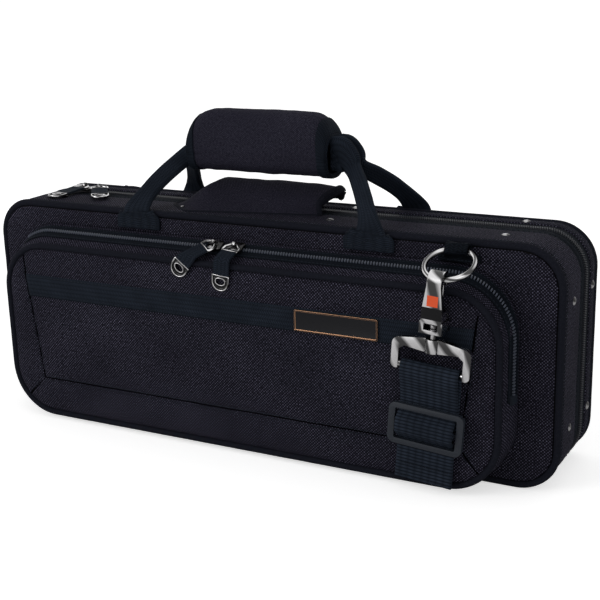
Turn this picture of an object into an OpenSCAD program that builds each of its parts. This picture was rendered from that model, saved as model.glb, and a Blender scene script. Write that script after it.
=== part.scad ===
// Soft-sided flute case: two zipped half shells, a padded front pocket, a wrapped carrying
// handle and a shoulder strap on a swivelling snap hook.
// Millimetres. X runs along the case, +Y to its back, +Z up. The zip closes on the plane y = 0
// and the case stands on its long edge at z = 0.

/* [Case] */
// Length of the case over its edge piping
case_len = 430; // [400:1:450]
// Height of the case standing on its long edge
case_h = 158; // [150:1:170]
// Radius of the outer corners
corner_r = 28; // [22:1:36]
// Depth of the front half, from the zip to the front piping
front_depth = 48; // [44:1:56]
// Depth of the rear half, from the zip to the rear piping
rear_depth = 25; // [25:1:34]
// Radius of the edge piping
edge_r = 2.5; // [2:0.1:3]
// How deep the side fabric lies inside the piping
panel_in = 1; // [0.6:0.1:1.4]
// Thickness of the padded outer fabric
fabric_t = 1.5; // [1:0.1:2]
// Wall of the rigid inner shells
shell_t = 4.5; // [3.5:0.1:5.5]

/* [Zip] */
// Width of zip tape on each half
tape_w = 10; // [9:0.5:12]
// Thickness of the zip tape
tape_t = 0.8; // [0.6:0.1:1]
// Width of one row of zip teeth
coil_w = 2.2; // [1.8:0.1:2.6]
// Height of the teeth over the tape
coil_h = 1.2; // [0.9:0.1:1.5]
// Gap between the two halves of the case
part_gap = 0.8; // [0.8:0.1:1.2]
// Place of the left main slider along the case
main_left_x = -171; // [-172:1:-170]
// Place of the right main slider along the case
main_right_x = -158; // [-158:1:-150]
// Direction of the left main pull, degrees from straight forward towards the left
main_left_yaw = 5; // [0:1:15]
// Direction of the right main pull, degrees from straight forward towards the left
main_right_yaw = -38; // [-42:1:-10]
// Length of a slider
slider_l = 11; // [10:0.5:11.5]
// Width of a slider
slider_w = 9; // [8:0.5:10]

/* [Zip pulls] */
// Length of the metal bracket of a pull
pull_bracket_l = 8; // [7:0.5:9]
// Length of the webbing of a pull
pull_web_l = 19; // [18.5:0.5:20]
// Width of the webbing of a pull
pull_web_w = 10.5; // [9:0.5:11]
// Length of the metal tip of a pull
pull_tip_l = 11; // [10.5:0.5:12]
// Thickness of the metal of a pull
pull_t = 1.6; // [1.4:0.1:1.8]

/* [Pocket] */
// How far the pocket's front panel stands in front of the case
pocket_depth = 25; // [22:1:30]
// Distance from the case's left end to the pocket's front panel
pocket_left = 21; // [18:1:26]
// Distance from the case's right end to the pocket's front panel
pocket_right = 30; // [26:1:36]
// Distance from the case's top to the pocket's front panel
pocket_top = 25; // [23:1:30]
// Height of the pocket over the floor
pocket_bottom = 2.5; // [2:0.1:4]
// Corner radius of the pocket's front panel
pocket_r = 36; // [30:1:40]
// How much wider the pocket is where it is sewn to the case
pocket_flare = 10; // [8:0.5:12]
// Radius of the pocket's piping
pocket_edge_r = 2.2; // [1.8:0.1:2.6]
// Thickness of the pocket's front panel
pocket_panel_t = 2.8; // [2.2:0.1:3.2]
// Thickness of the pocket's side cloth
gusset_t = 2; // [1.5:0.1:2.5]
// Place of the left pocket slider
pocket_left_x = -20; // [-24:1:-19]
// Place of the right pocket slider
pocket_right_x = -4; // [-5:1:0]
// Direction of the left pocket pull, degrees from straight forward towards the left
pocket_left_yaw = 38; // [25:1:38]
// Direction of the right pocket pull, degrees from straight forward towards the left
pocket_right_yaw = 6; // [0:1:20]
// Height of the stripe's lower edge
stripe_z = 93.5; // [85:0.5:100]
// Width of the webbing stripe
stripe_w = 16; // [14:0.5:20]
// Length of the bare plate on the stripe
plate_l = 58.5; // [50:0.5:64]
// Height of the bare plate
plate_h = 14; // [12:0.5:15]
// Place of the plate's left end
plate_x = 47; // [35:1:50]

/* [Handle] */
// Length of the padded grip
grip_l = 107; // [100:1:115]
// Height of the padded grip
grip_h = 42; // [38:1:46]
// Thickness of the padded grip, front to back
grip_t = 30; // [28:1:34]
// Place of the grip's middle along the case
grip_x = -6.5; // [-12:0.5:0]
// Height of the grip's middle over the case's top
grip_rise = 46; // [44:1:52]
// Distance from the case's middle to each sewn webbing patch
patch_x = 88; // [84:1:94]
// Width of a sewn patch
patch_w = 35; // [30:1:38]
// Height of a sewn patch
patch_h = 13; // [10:1:14]
// Width of the folded webbing of the handle
leg_w = 13; // [12:0.5:15]
// Thickness of the folded webbing of the handle
leg_t = 4.4; // [4:0.1:4.8]
// Height of the webbing inside the grip over the case's top
loop_rise = 37; // [36:0.5:42]

/* [Zip flap] */
// Length of the flap at its rear edge
flap_l = 116; // [100:1:120]
// Length of the flap at its front edge
flap_front_l = 96; // [80:1:100]
// Place of the flap's middle along the case
flap_x = -9; // [-12:1:0]
// Height of the flap's arch over the case's top
flap_rise = 15.5; // [14:0.5:17]
// Thickness of the bound cloth of the flap
flap_t = 1.6; // [1.2:0.1:2]

/* [Shoulder strap] */
// Width of the strap webbing
strap_w = 38; // [36:0.5:38]
// Thickness of the strap webbing
strap_t = 1.6; // [1.4:0.1:1.8]
// Radius of the middle of the carrying ring's wire
ring_r = 15.4; // [15:0.1:17]
// Radius of the ring's wire
ring_wire_r = 1.7; // [1.5:0.1:1.9]
// Slope of the front ring, degrees down from level
ring_slope = 23; // [18:1:28]
// Place of the front ring along the case
ring_x = 149; // [147:1:152]
// Sideways lean of the hanging strap in degrees
strap_lean = 4.5; // [3:0.5:5]
// Radius of the hook's eye
eye_r = 3.6; // [3.5:0.1:4]
// Thickness of the hook's metal around its eye
hook_t = 2.8; // [2.4:0.1:3]
// Width of the hook's face at its top
hook_top_w = 9; // [8:0.5:10]
// Width of the hook's face at its foot
hook_foot_w = 13; // [12:0.5:14]
// Thickness of the cast yoke that carries the webbing
yoke_t = 4; // [3.6:0.1:4.6]
// Radius of the swivel's stem
stem_r = 1.9; // [1.7:0.1:2.1]
// Length of the strap adjuster across the strap
adjuster_l = 49; // [47:0.5:50]
// Height of the strap adjuster
adjuster_h = 27; // [26:0.5:28]
// Length of webbing that hangs below the adjuster
strap_tail = 24; // [20:0.5:24]

/* [Inside] */
// Length of the flute's middle joint recess
body_recess_l = 362; // [355:1:370]
// Length of the head joint recess
head_recess_l = 230; // [225:1:236]
// Length of the foot joint recess
foot_recess_l = 140; // [130:1:146]
// Radius of the recesses
recess_r = 14; // [13:0.5:15]

/* [Hidden] */
$fn = 48;
hull_fn = 32;
seat = 0.3;
fit = 0.08;
zip_slide_gap = 0.4;
shell_in = panel_in + fabric_t;
shell_inner = shell_in + shell_t;
rebate_in = 2 * edge_r;
rebate_w = slider_w / 2 + 2.5;
tape_in = shell_in - tape_t;
coil_in = tape_in - coil_h;
pip_r = edge_r - 0.05;
web_half = case_len / 2 - corner_r - 1;
top_z = case_h - panel_in;
tape_top = case_h - tape_in;
front_face = -front_depth;
rear_face = rear_depth;

// sliders and pulls
slider_plate_t = 1.5;
slider_gap = 0.25;
crown_axis = 1.5;
crown_r = 2.3;
crown_w = 2.2;
pull_bar_r = 0.82;
slider_z = case_h - coil_in + zip_slide_gap;

// pocket outlines: [left, right, bottom, top, radius]
pocket_face = [
    -case_len / 2 + pocket_left, case_len / 2 - pocket_right,
    pocket_bottom, case_h - pocket_top, pocket_r
];
right_flare = 0.3;
pocket_base = [
    pocket_face[0] - pocket_flare * 0.7, pocket_face[1] + pocket_flare * right_flare,
    pocket_bottom, pocket_face[3] + pocket_flare, pocket_r + pocket_flare * 0.6
];
pocket_y = front_face - pocket_depth;
gusset_back = front_face - seat;
gusset_front = pocket_y + 2 * pocket_edge_r;
panel_edge = 2 * pocket_edge_r + 0.1;
panel_front = pocket_y + 0.4;
stripe_front = panel_front - 1.2;
plate_front = stripe_front - 1.5;
zip_share = 0.45;
pocket_slope = atan2(pocket_base[3] - pocket_face[3], gusset_back - gusset_front);

// handle
grip_z = case_h + grip_rise;
grip_y = -12;
loop_z = case_h + loop_rise;
loop_gap = 4.6;
front_loop_y = grip_y - loop_gap;
rear_loop_y = grip_y + loop_gap;
patch_t = 2.2;

// carrying rings
tab_w = 24;
tab_t = 1.6;
sleeve_w = 12;
sleeve_wall = 1.3;
sleeve_r = ring_wire_r + ring_r - sqrt(ring_r * ring_r - sleeve_w * sleeve_w / 4) + 0.25;
ring_pivot_z = case_h - 6;
front_ring_y = front_face - sleeve_r - sleeve_wall;
rear_ring_y = rear_face + sleeve_r + sleeve_wall;
rear_ring_x = -ring_x;
rear_ring_slope = 90 - asin((sleeve_r + sleeve_wall - ring_wire_r - seat) / (2 * ring_r));

// strap chain, measured from the middle of the hook's eye
chain_x = ring_x - 1.5;
chain_y = front_ring_y - 2 * ring_r * cos(ring_slope);
chain_z = ring_pivot_z - 2 * ring_r * sin(ring_slope);
eye_drop = eye_r - ring_wire_r - 1.15;
hook_half = eye_r + hook_t;
gate_top = -3;
gate_axis_z = -20.5;
gate_axis_y = hook_half - 2.4;
gate_w = 4.6;
gate_pin_r = 0.9;
band_z = -24;
bracket_bottom = -31.5;
bracket_w = 14.4;
window_w = 9;
window_bottom = -29.3;
window_top = -25.2;
yoke_top = -36;
bar_z = -56;
bar_r = 1.9;
fold_r = bar_r + 0.1;
yoke_half = adjuster_l / 2 + 1;
adjuster_z = -94.8;
adjuster_t = 3.5;
rail_h = 3.5;
mid_bar_r = 1.3;
tail_end = adjuster_z - adjuster_h / 2 - strap_tail;

cloth = "#1f2025";
webbing = "#1c2226";
chrome = "#c9cbd0";
plastic = "#2a2d35";

// ---- shared shapes ----

// rounded rectangle from [left, right, bottom, top, radius]
module rounded(o) {
    translate([o[0] + o[4], o[2]]) square([o[1] - o[0] - 2 * o[4], o[3] - o[2]]);
    translate([o[0], o[2] + o[4]]) square([o[1] - o[0], o[3] - o[2] - 2 * o[4]]);
    for (x = [o[0] + o[4], o[1] - o[4]])
        for (z = [o[2] + o[4], o[3] - o[4]])
            translate([x, z]) circle(o[4]);
}

function shrink(o, d) = [o[0] + d, o[1] - d, o[2] + d, o[3] - d, o[4] - d];
case_outline = [-case_len / 2, case_len / 2, 0, case_h, corner_r];

// a flat shape in x and z, drawn from y0 back to y1
module along_y(y0, y1) {
    translate([0, y1, 0]) rotate([90, 0, 0]) linear_extrude(y1 - y0) children();
}

// a flat shape in y and z, drawn from x0 to x1
module along_x(x0, x1) {
    translate([x0, 0, 0]) rotate([90, 0, 90]) linear_extrude(x1 - x0) children();
}

// a wall that follows an outline between two insets
module wall(o, in0, in1, y0, y1) {
    along_y(y0, y1) difference() {
        rounded(shrink(o, in0));
        rounded(shrink(o, in1));
    }
}

// a round roll that follows an outline, its middle at the given inset
module roll(o, inset, y, r) {
    c = shrink(o, inset);
    for (x = [c[0], c[1]])
        translate([x, y, c[2] + c[4]]) cylinder(r = r, h = c[3] - c[2] - 2 * c[4]);
    for (z = [c[2], c[3]])
        translate([c[0] + c[4], y, z]) rotate([0, 90, 0]) cylinder(r = r, h = c[1] - c[0] - 2 * c[4]);
    corners = [
        [c[1] - c[4], c[3] - c[4], 0], [c[0] + c[4], c[3] - c[4], 90],
        [c[0] + c[4], c[2] + c[4], 180], [c[1] - c[4], c[2] + c[4], 270]
    ];
    for (k = corners)
        translate([k[0], y, k[1]]) rotate([90, 0, 0]) rotate([0, 0, k[2]])
            rotate_extrude(angle = 90) translate([c[4], 0]) circle(r);
}

// everything but the bottom run, where the hinge cloth takes the zip's place
module above_hinge(y0, y1) {
    difference() {
        children();
        translate([-web_half, y0, -1]) cube([2 * web_half, y1 - y0, corner_r]);
    }
}

function unit(v) = v / norm(v);
function tangent(p, i) = unit(p[min(i + 1, len(p) - 1)] - p[max(i - 1, 0)]);
function square_to(v, t) = unit(v - t * (v * t));
function mix(a, b, s) = a * (1 - s) + b * s;
function curve3(a, b, c, s) = mix(mix(a, b, s), mix(b, c, s), s);

// eight-sided section of a flat band, w wide and t thick
function band(w, t) = let (c = min(w, t) * 0.3) [
    [w / 2, -t / 2 + c], [w / 2, t / 2 - c], [w / 2 - c, t / 2], [-w / 2 + c, t / 2],
    [-w / 2, t / 2 - c], [-w / 2, -t / 2 + c], [-w / 2 + c, -t / 2], [w / 2 - c, -t / 2]
];

// a band that follows points; side gives its width direction at each point
module swept(p, side, w, t) {
    n = len(p);
    pts = [for (i = [0 : n - 1])
        let (d = tangent(p, i), s = square_to(side[i], d), u = cross(d, s))
            for (q = band(w[i], t[i])) p[i] + s * q[0] + u * q[1]];
    sides = [for (i = [0 : n - 2]) for (j = [0 : 7])
        let (a = i * 8 + j, b = i * 8 + (j + 1) % 8)
            each [[a, b + 8, b], [a, a + 8, b + 8]]];
    ends = [for (j = [1 : 6]) each [[0, j, j + 1], [n * 8 - 8, n * 8 - 8 + j + 1, n * 8 - 8 + j]]];
    polyhedron(points = pts, faces = concat(sides, ends), convexity = 6);
}

// outline of a flat band of thickness t along points in a plane
function side_of(p, i, d) = let (
    a = i > 0 ? unit(p[i] - p[i - 1]) : unit(p[1] - p[0]),
    b = i < len(p) - 1 ? unit(p[i + 1] - p[i]) : a,
    m = unit(a + b)
) p[i] + [-m[1], m[0]] * d / (m * a);
module strip(p, t) {
    n = len(p) - 1;
    polygon(concat([for (i = [0 : n]) side_of(p, i, t / 2)],
                   [for (i = [n : -1 : 0]) side_of(p, i, -t / 2)]));
}

// ---- rivets: a domed head on a shank through the fabric and the shell ----

rivet_head_r = 3;
rivet_head_h = 1.2;
rivet_shank_r = 1.2;
rivet_mid = flap_l / 2 - 0.5;
rivet_mid_x = flap_x + 1;
rivet_end = web_half - 16;
rivet_top_x = [-rivet_end, rivet_mid_x - rivet_mid, rivet_mid_x + rivet_mid, rivet_end];
rivet_side_z = [38, 120];
front_rivet_y = -(tape_w + front_depth - 2 * edge_r) / 2;
rear_rivet_y = (tape_w + rear_depth - 2 * edge_r) / 2;

// places the children on the outside of the side fabric, pointing outwards along z
module at_rivets(y) {
    for (x = rivet_top_x)
        translate([x, y, top_z]) children();
    for (s = [-1, 1])
        for (z = rivet_side_z)
            translate([s * (case_len / 2 - panel_in), y, z]) rotate([0, s * 90, 0]) children();
}

module rivet() {
    dome_r = (rivet_head_r * rivet_head_r + rivet_head_h * rivet_head_h) / (2 * rivet_head_h);
    intersection() {
        translate([0, 0, rivet_head_h - dome_r]) sphere(dome_r);
        translate([0, 0, 0.05]) cylinder(r = rivet_head_r, h = rivet_head_h);
    }
    translate([0, 0, -fabric_t - shell_t]) cylinder(r = rivet_shank_r, h = fabric_t + shell_t + 0.3);
}

module rivet_hole() {
    translate([0, 0, -fabric_t - shell_t - 1]) cylinder(r = rivet_shank_r + fit, h = fabric_t + shell_t + 2);
}

// ---- rear half ----

module rear_shell() {
    color("#33302c") difference() {
        union() {
            wall(case_outline, shell_in, shell_inner, rebate_w, rear_face - 2 * edge_r);
            wall(case_outline, rebate_in, shell_inner, part_gap / 2, rebate_w + 1);
            along_y(rear_face - fabric_t - shell_t, rear_face - fabric_t)
                rounded(shrink(case_outline, rebate_in));
        }
        at_rivets(rear_rivet_y) rivet_hole();
    }
}

module rear_side_panel() {
    color(cloth) difference() {
        wall(case_outline, panel_in, shell_in, tape_w, rear_face - 2 * edge_r);
        at_rivets(rear_rivet_y) rivet_hole();
    }
}

module rear_face_panel() {
    color(cloth) along_y(rear_face - fabric_t, rear_face)
        rounded(shrink(case_outline, rebate_in + 0.1));
}

module rear_piping() {
    color(webbing) roll(case_outline, edge_r, rear_face - edge_r, pip_r);
}

module rear_zip_tape() {
    color(webbing) above_hinge(0, tape_w + 1)
        wall(case_outline, tape_in, shell_in, part_gap / 2, tape_w);
}

module rear_zip_teeth() {
    color("#15171b") above_hinge(0, tape_w + 1)
        wall(case_outline, coil_in, tape_in, part_gap / 2 + 0.2, part_gap / 2 + 0.2 + coil_w);
}

module rear_rivets() {
    color(chrome) at_rivets(rear_rivet_y) rivet();
}

// padded block with recesses for the three joints of the flute and a cleaning rod
block_front = 1;
block_back = rear_face - fabric_t - shell_t;
body_recess_z = case_h - 42;
low_recess_z = 60;
rod_recess_z = 23;

module recess(x0, l, z, r) {
    translate([x0, block_front - 1, z]) rotate([0, 90, 0]) cylinder(r = r, h = l);
    notch_t = block_back - block_front - 3;
    translate([x0 + l * 0.3, block_front - 1, z - r - 5]) cube([16, notch_t, 2 * r + 10]);
}

module flute_block() {
    color("#3b1f2b") difference() {
        along_y(block_front, block_back - 0.1) rounded(shrink(case_outline, shell_inner + seat));
        recess(-body_recess_l / 2, body_recess_l, body_recess_z, recess_r);
        recess(-head_recess_l + 42, head_recess_l, low_recess_z, recess_r - 1);
        recess(52, foot_recess_l, low_recess_z, recess_r);
        recess(-150, 300, rod_recess_z, 5);
    }
}

// strip of cloth that joins the two halves along the bottom
module hinge_web() {
    web_z = panel_in + 0.2;
    color(webbing) translate([-web_half + seat, -tape_w + seat, web_z])
        cube([2 * web_half - 2 * seat, 2 * tape_w - 2 * seat, 1]);
}

// ---- front half ----

module front_shell() {
    color("#33302c") difference() {
        union() {
            wall(case_outline, shell_in, shell_inner, front_face + 2 * edge_r, -rebate_w);
            wall(case_outline, rebate_in, shell_inner, -rebate_w - 1, -part_gap / 2);
            along_y(front_face + fabric_t, front_face + fabric_t + shell_t)
                rounded(shrink(case_outline, rebate_in));
        }
        at_rivets(front_rivet_y) rivet_hole();
    }
}

module front_side_panel() {
    color(cloth) difference() {
        wall(case_outline, panel_in, shell_in, front_face + 2 * edge_r, -tape_w);
        at_rivets(front_rivet_y) rivet_hole();
    }
}

module front_face_panel() {
    color(cloth) along_y(front_face, front_face + fabric_t)
        rounded(shrink(case_outline, rebate_in + 0.1));
}

module front_piping() {
    color(webbing) roll(case_outline, edge_r, front_face + edge_r, pip_r);
}

module front_zip_tape() {
    color(webbing) above_hinge(-tape_w - 1, 0)
        wall(case_outline, tape_in, shell_in, -tape_w, -part_gap / 2);
}

module front_zip_teeth() {
    color("#15171b") above_hinge(-tape_w - 1, 0)
        wall(case_outline, coil_in, tape_in, -part_gap / 2 - 0.2 - coil_w, -part_gap / 2 - 0.2);
}

module front_rivets() {
    color(chrome) at_rivets(front_rivet_y) rivet();
}

module lid_lining() {
    back = front_face + fabric_t + shell_t;
    color("#3b1f2b") {
        along_y(back, back + 4) rounded(shrink(case_outline, shell_inner + 0.05));
        wall(case_outline, shell_inner + 0.05, shell_inner + 2, back + 3, -1);
    }
}

// ---- carrying handle ----

// route of one webbing loop: patch, leg, through the grip and down to the other patch
leg_reach = 12.4;
leg_neck = 15;
leg_top = 32;
function leg(s, y0, y1) = let (
    a = [s * patch_x, y0, case_h + 1],
    b = [s * (patch_x - 4), mix(y0, y1, 0.25), case_h + leg_neck],
    c = [grip_x / 2 + s * (grip_l / 2 + leg_reach), y1, case_h + leg_top]
) [
    [s * patch_x, y0, case_h - patch_h],
    [s * patch_x, y0, case_h - 3],
    for (k = [0 : 5]) curve3(a, b, c, k / 5),
    [grip_x + s * (grip_l / 2 + 1.5), y1, loop_z - 0.3],
    [grip_x + s * (grip_l / 2 - 8), y1, loop_z]
];
function reversed(v) = [for (i = [len(v) - 1 : -1 : 0]) v[i]];
leg_wide = [
    patch_w, patch_w, patch_w * 0.76, leg_w + 5, leg_w, leg_w, leg_w, leg_w, leg_w, leg_w
];
leg_thick = [
    patch_t, patch_t, patch_t + 0.4, leg_t - 1, leg_t, leg_t, leg_t, leg_t, leg_t, leg_t
];

module handle_loop(y0, y1) {
    left = leg(-1, y0, y1);
    right = leg(1, y0, y1);
    p = concat(left, reversed(right));
    side = [for (i = [0 : len(p) - 1])
        let (d = tangent(p, i)) i < 3 || i > len(p) - 4 ? [1, 0, 0] : cross(d, [0, 1, 0])];
    turned = [for (i = [0 : len(p) - 1]) i < 3 || i > len(p) - 4 ? [i < 3 ? 1 : -1, 0, 0] : side[i]];
    color(webbing)
        swept(p, turned, concat(leg_wide, reversed(leg_wide)), concat(leg_thick, reversed(leg_thick)));
}

module front_handle_loop() {
    handle_loop(front_face - seat / 3 - patch_t / 2, front_loop_y);
}

module rear_handle_loop() {
    handle_loop(rear_face + seat / 3 + patch_t / 2, rear_loop_y);
}

// padded sleeve wrapped round both loops
module grip_wrap() {
    low = grip_z - grip_h / 2;
    shoulder = grip_h * 0.45;
    cavity_t = 2 * loop_gap + leg_t + 1.2;
    cavity_h = leg_w + 2.2;
    color(cloth) difference() {
        intersection() {
            along_y(grip_y - grip_t / 2, grip_y + grip_t / 2) union() {
                translate([grip_x - grip_l / 2, low]) square([grip_l, grip_h - shoulder]);
                translate([grip_x - grip_l / 2 + shoulder, low]) square([grip_l - 2 * shoulder, grip_h]);
                for (s = [-1, 1])
                    translate([grip_x + s * (grip_l / 2 - shoulder), low + grip_h - shoulder])
                        circle(shoulder);
            }
            along_x(grip_x - grip_l / 2, grip_x + grip_l / 2)
                rounded([grip_y - grip_t / 2, grip_y + grip_t / 2, low, low + grip_h, grip_t * 0.42]);
        }
        translate([grip_x - grip_l, grip_y - cavity_t / 2, loop_z - cavity_h / 2])
            cube([2 * grip_l, cavity_t, cavity_h]);
    }
}

// ---- flap over the zip ----

flap_back = rear_face - 4.5;
flap_front = front_face + 10;
flap_foot = top_z + seat + flap_t / 2;
flap_path = [
    [flap_front, flap_foot], [flap_front + 1.6, flap_foot + 1.2],
    [flap_front + 3.6, flap_foot + flap_rise * 0.4],
    [flap_front + 12, flap_foot + flap_rise * 0.66], [flap_front + 24, flap_foot + flap_rise * 0.86],
    [-2, flap_foot + flap_rise], [6, flap_foot + flap_rise * 0.95],
    [flap_back - 5, flap_foot + flap_rise * 0.55],
    [flap_back - 2, flap_foot + flap_rise * 0.15], [flap_back - 0.5, flap_foot]
];

module zip_flap() {
    color(cloth) intersection() {
        along_x(flap_x - flap_l, flap_x + flap_l) strip(flap_path, flap_t);
        translate([flap_x, 0, case_h - 10]) linear_extrude(60) polygon([
            [-flap_l / 2, flap_back], [flap_l / 2, flap_back],
            [flap_l / 2, 0], [flap_front_l / 2, flap_front - 2], [-flap_front_l / 2, flap_front - 2],
            [-flap_l / 2, 0]
        ]);
    }
}

// ---- pocket ----

module pocket_solid(grow, y_front, y_back) {
    hull() {
        along_y(y_back - 0.2, y_back) offset_free(shrink(pocket_base, grow));
        along_y(y_front, y_front + 0.2) offset_free(shrink(pocket_face, 0.4 + grow));
    }
}

module offset_free(o) {
    rounded(o, $fn = hull_fn);
}

module pocket_gusset() {
    color(cloth) difference() {
        pocket_solid(0, gusset_front, gusset_back);
        pocket_solid(gusset_t, gusset_front - 1, gusset_back + 1);
    }
}

// quilted front panel: a raised middle between four sewn seams
seam_w = 1.4;
seam_d = 0.9;
seam_top = pocket_face[3] - panel_edge;
seam_rise = 29;
seam_left_in = 18;
seam_right_in = 14;
seam_lean = 12;
seam_corner_in = 14;
seam_low = pocket_face[2] + seam_rise;
seam_left_top = pocket_face[0] + seam_left_in;
seam_right_top = pocket_face[1] - seam_right_in;
seam_left_low = seam_left_top + seam_lean;
seam_right_low = seam_right_top - seam_lean;

module seam(a, b) {
    d = b - a;
    translate(a) rotate(atan2(d[1], d[0])) translate([0, -seam_w / 2]) square([norm(d), seam_w]);
}

module pocket_front_panel() {
    low_left = [seam_left_low, seam_low];
    low_right = [seam_right_low, seam_low];
    color(cloth) difference() {
        along_y(panel_front, panel_front + pocket_panel_t) rounded(shrink(pocket_face, panel_edge));
        along_y(panel_front - 1, panel_front + seam_d) union() {
            seam([seam_left_top, seam_top + 2], low_left);
            seam([seam_right_top, seam_top + 2], low_right);
            seam(low_left, low_right);
            seam([pocket_face[0] + seam_corner_in, pocket_face[2] + seam_corner_in], low_left);
            seam([pocket_face[1] - seam_corner_in, pocket_face[2] + seam_corner_in], low_right);
            translate(low_left) circle(seam_w * 0.9);
            translate(low_right) circle(seam_w * 0.9);
        }
    }
}

module pocket_piping() {
    color(webbing) roll(pocket_face, pocket_edge_r, pocket_y + pocket_edge_r, pocket_edge_r - 0.05);
}

// points round an outline from the left top corner, over the top and down the right side
zip_start_angle = 125;
zip_end_z = 62;
function arc_point(cx, cz, r, a) = [cx + r * cos(a), cz + r * sin(a)];
function zip_outline(o) = concat(
    [for (a = [zip_start_angle : -7 : 91]) arc_point(o[0] + o[4], o[3] - o[4], o[4], a)],
    [for (k = [0 : 8]) [mix(o[0] + o[4], o[1] - o[4], k / 8), o[3]]],
    [for (a = [84 : -6 : 6]) arc_point(o[1] - o[4], o[3] - o[4], o[4], a)],
    [for (k = [0 : 4]) [o[1], mix(o[3] - o[4], zip_end_z, k / 4)]]
);
zip_base = zip_outline(pocket_base);
zip_face = zip_outline(shrink(pocket_face, 0.4));
zip_slope = [for (i = [0 : len(zip_base) - 1])
    let (b = zip_base[i], f = zip_face[i]) unit([f[0] - b[0], gusset_front - gusset_back, f[1] - b[1]])];
function zip_at(share) = [for (i = [0 : len(zip_base) - 1])
    let (b = zip_base[i], f = zip_face[i])
        [mix(b[0], f[0], share), mix(gusset_back, gusset_front, share), mix(b[1], f[1], share)]];
zip_line = zip_at(zip_share);
zip_normal = [for (i = [0 : len(zip_line) - 1]) cross(tangent(zip_line, i), -zip_slope[i])];
pocket_tape_w = 12;
pocket_teeth_w = 3.6;
pocket_teeth_h = 0.86;
pocket_tape_t = 0.6;
pocket_tape_lift = 0.35;
pocket_coil_lift = pocket_tape_lift + pocket_tape_t;

module pocket_zip_band(w, t, lift) {
    n = len(zip_line);
    p = [for (i = [0 : n - 1]) zip_line[i] + zip_normal[i] * (lift + t / 2)];
    swept(p, zip_slope, [for (i = [1 : n]) w], [for (i = [1 : n]) t]);
}

module pocket_zip_tape() {
    color(webbing) pocket_zip_band(pocket_tape_w, pocket_tape_t, pocket_tape_lift);
}

module pocket_zip_teeth() {
    color("#15171b") pocket_zip_band(pocket_teeth_w, pocket_teeth_h, pocket_coil_lift + 0.22);
}

module webbing_stripe() {
    z1 = stripe_z + stripe_w;
    left = seam_left_top + 1.5;
    color(webbing) along_y(stripe_front, panel_front) polygon([
        [mix(seam_left_low, seam_left_top, (stripe_z - seam_low) / (seam_top - seam_low)) + 1, stripe_z],
        [mix(seam_right_low, seam_right_top, (stripe_z - seam_low) / (seam_top - seam_low)) - 1, stripe_z],
        [mix(seam_right_low, seam_right_top, (z1 - seam_low) / (seam_top - seam_low)) - 1, z1],
        [mix(seam_left_low, seam_left_top, (z1 - seam_low) / (seam_top - seam_low)) + 1, z1]
    ]);
}

module bare_plate() {
    z0 = stripe_z + (stripe_w - plate_h) / 2;
    rim = 0.9;
    color("#101114") difference() {
        along_y(plate_front, stripe_front)
            rounded([plate_x, plate_x + plate_l, z0, z0 + plate_h, 1]);
        along_y(plate_front - 1, plate_front + 0.4)
            rounded([plate_x + rim, plate_x + plate_l - rim, z0 + rim, z0 + plate_h - rim, 0.6]);
    }
}

// ---- zip sliders and their pulls ----

// crown that holds the pull's bar: stands on z = 0, bar along x
module crown() {
    translate([-crown_w / 2, 0, 0]) difference() {
        union() {
            translate([0, 0, crown_axis]) rotate([0, 90, 0]) cylinder(r = crown_r, h = crown_w);
            translate([0, -crown_r, 0]) cube([crown_w, 2 * crown_r, crown_axis]);
        }
        translate([-1, 0, crown_axis]) rotate([0, 90, 0]) cylinder(r = pull_bar_r + fit, h = crown_w + 2);
        translate([-1, -2 * crown_r, -2 * crown_r]) cube([crown_w + 2, 4 * crown_r, 2 * crown_r]);
    }
}

// outline of a slider's plate, its nose towards +x
module slider_outline() {
    nose = 3;
    translate([-slider_l / 2, -slider_w / 2 + 1]) square([slider_l - nose, slider_w - 2]);
    translate([-slider_l / 2 + 1, -slider_w / 2]) square([slider_l - nose - 1, slider_w]);
    translate([slider_l / 2 - nose, 0]) intersection() {
        circle(slider_w / 2);
        translate([0, -slider_w / 2]) square([nose, slider_w]);
    }
    for (s = [-1, 1])
        translate([-slider_l / 2 + 1, s * (slider_w / 2 - 1)]) circle(1);
}

// slider of the main zip: plates over and under the tapes, joined by a post between the teeth
module main_slider(x, nose, yaw) {
    low_top = shell_in + zip_slide_gap;
    post_t = part_gap - 0.2;
    color(chrome) translate([x, 0, 0]) {
        translate([0, 0, slider_z]) {
            linear_extrude(slider_plate_t) mirror([nose > 0 ? 0 : 1, 0, 0]) slider_outline();
            translate([0, 0, slider_plate_t]) rotate([0, 0, -yaw]) crown();
        }
        translate([0, 0, case_h - low_top - 1.2])
            linear_extrude(1.2) mirror([nose > 0 ? 0 : 1, 0, 0]) slider_outline();
        translate([nose > 0 ? 0 : -4, -post_t / 2, case_h - low_top - 0.5])
            cube([4, post_t, slider_z - case_h + low_top + 1]);
    }
}

// slider of the pocket's zip, on the sloping side cloth
pocket_slider_y = mix(gusset_back, gusset_front, zip_share);
pocket_slider_z = mix(pocket_base[3], pocket_face[3] - 0.4, zip_share);
pocket_slider_lift = pocket_coil_lift + 1.05 + slider_gap;

module on_pocket(x) {
    translate([x, pocket_slider_y, pocket_slider_z]) rotate([pocket_slope, 0, 0])
        translate([0, 0, pocket_slider_lift]) children();
}

module pocket_slider(x, nose, yaw) {
    color(chrome) on_pocket(x) {
        linear_extrude(slider_plate_t) mirror([nose > 0 ? 0 : 1, 0, 0]) slider_outline();
        for (s = [-1, 1])
            translate([-slider_l / 2 + 1.5, s * (slider_w / 2 - 0.6) - 0.4, -1])
                cube([slider_l - 6, 0.8, 1.2]);
        translate([0, 0, slider_plate_t]) rotate([0, 0, -yaw]) crown();
    }
}

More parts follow.
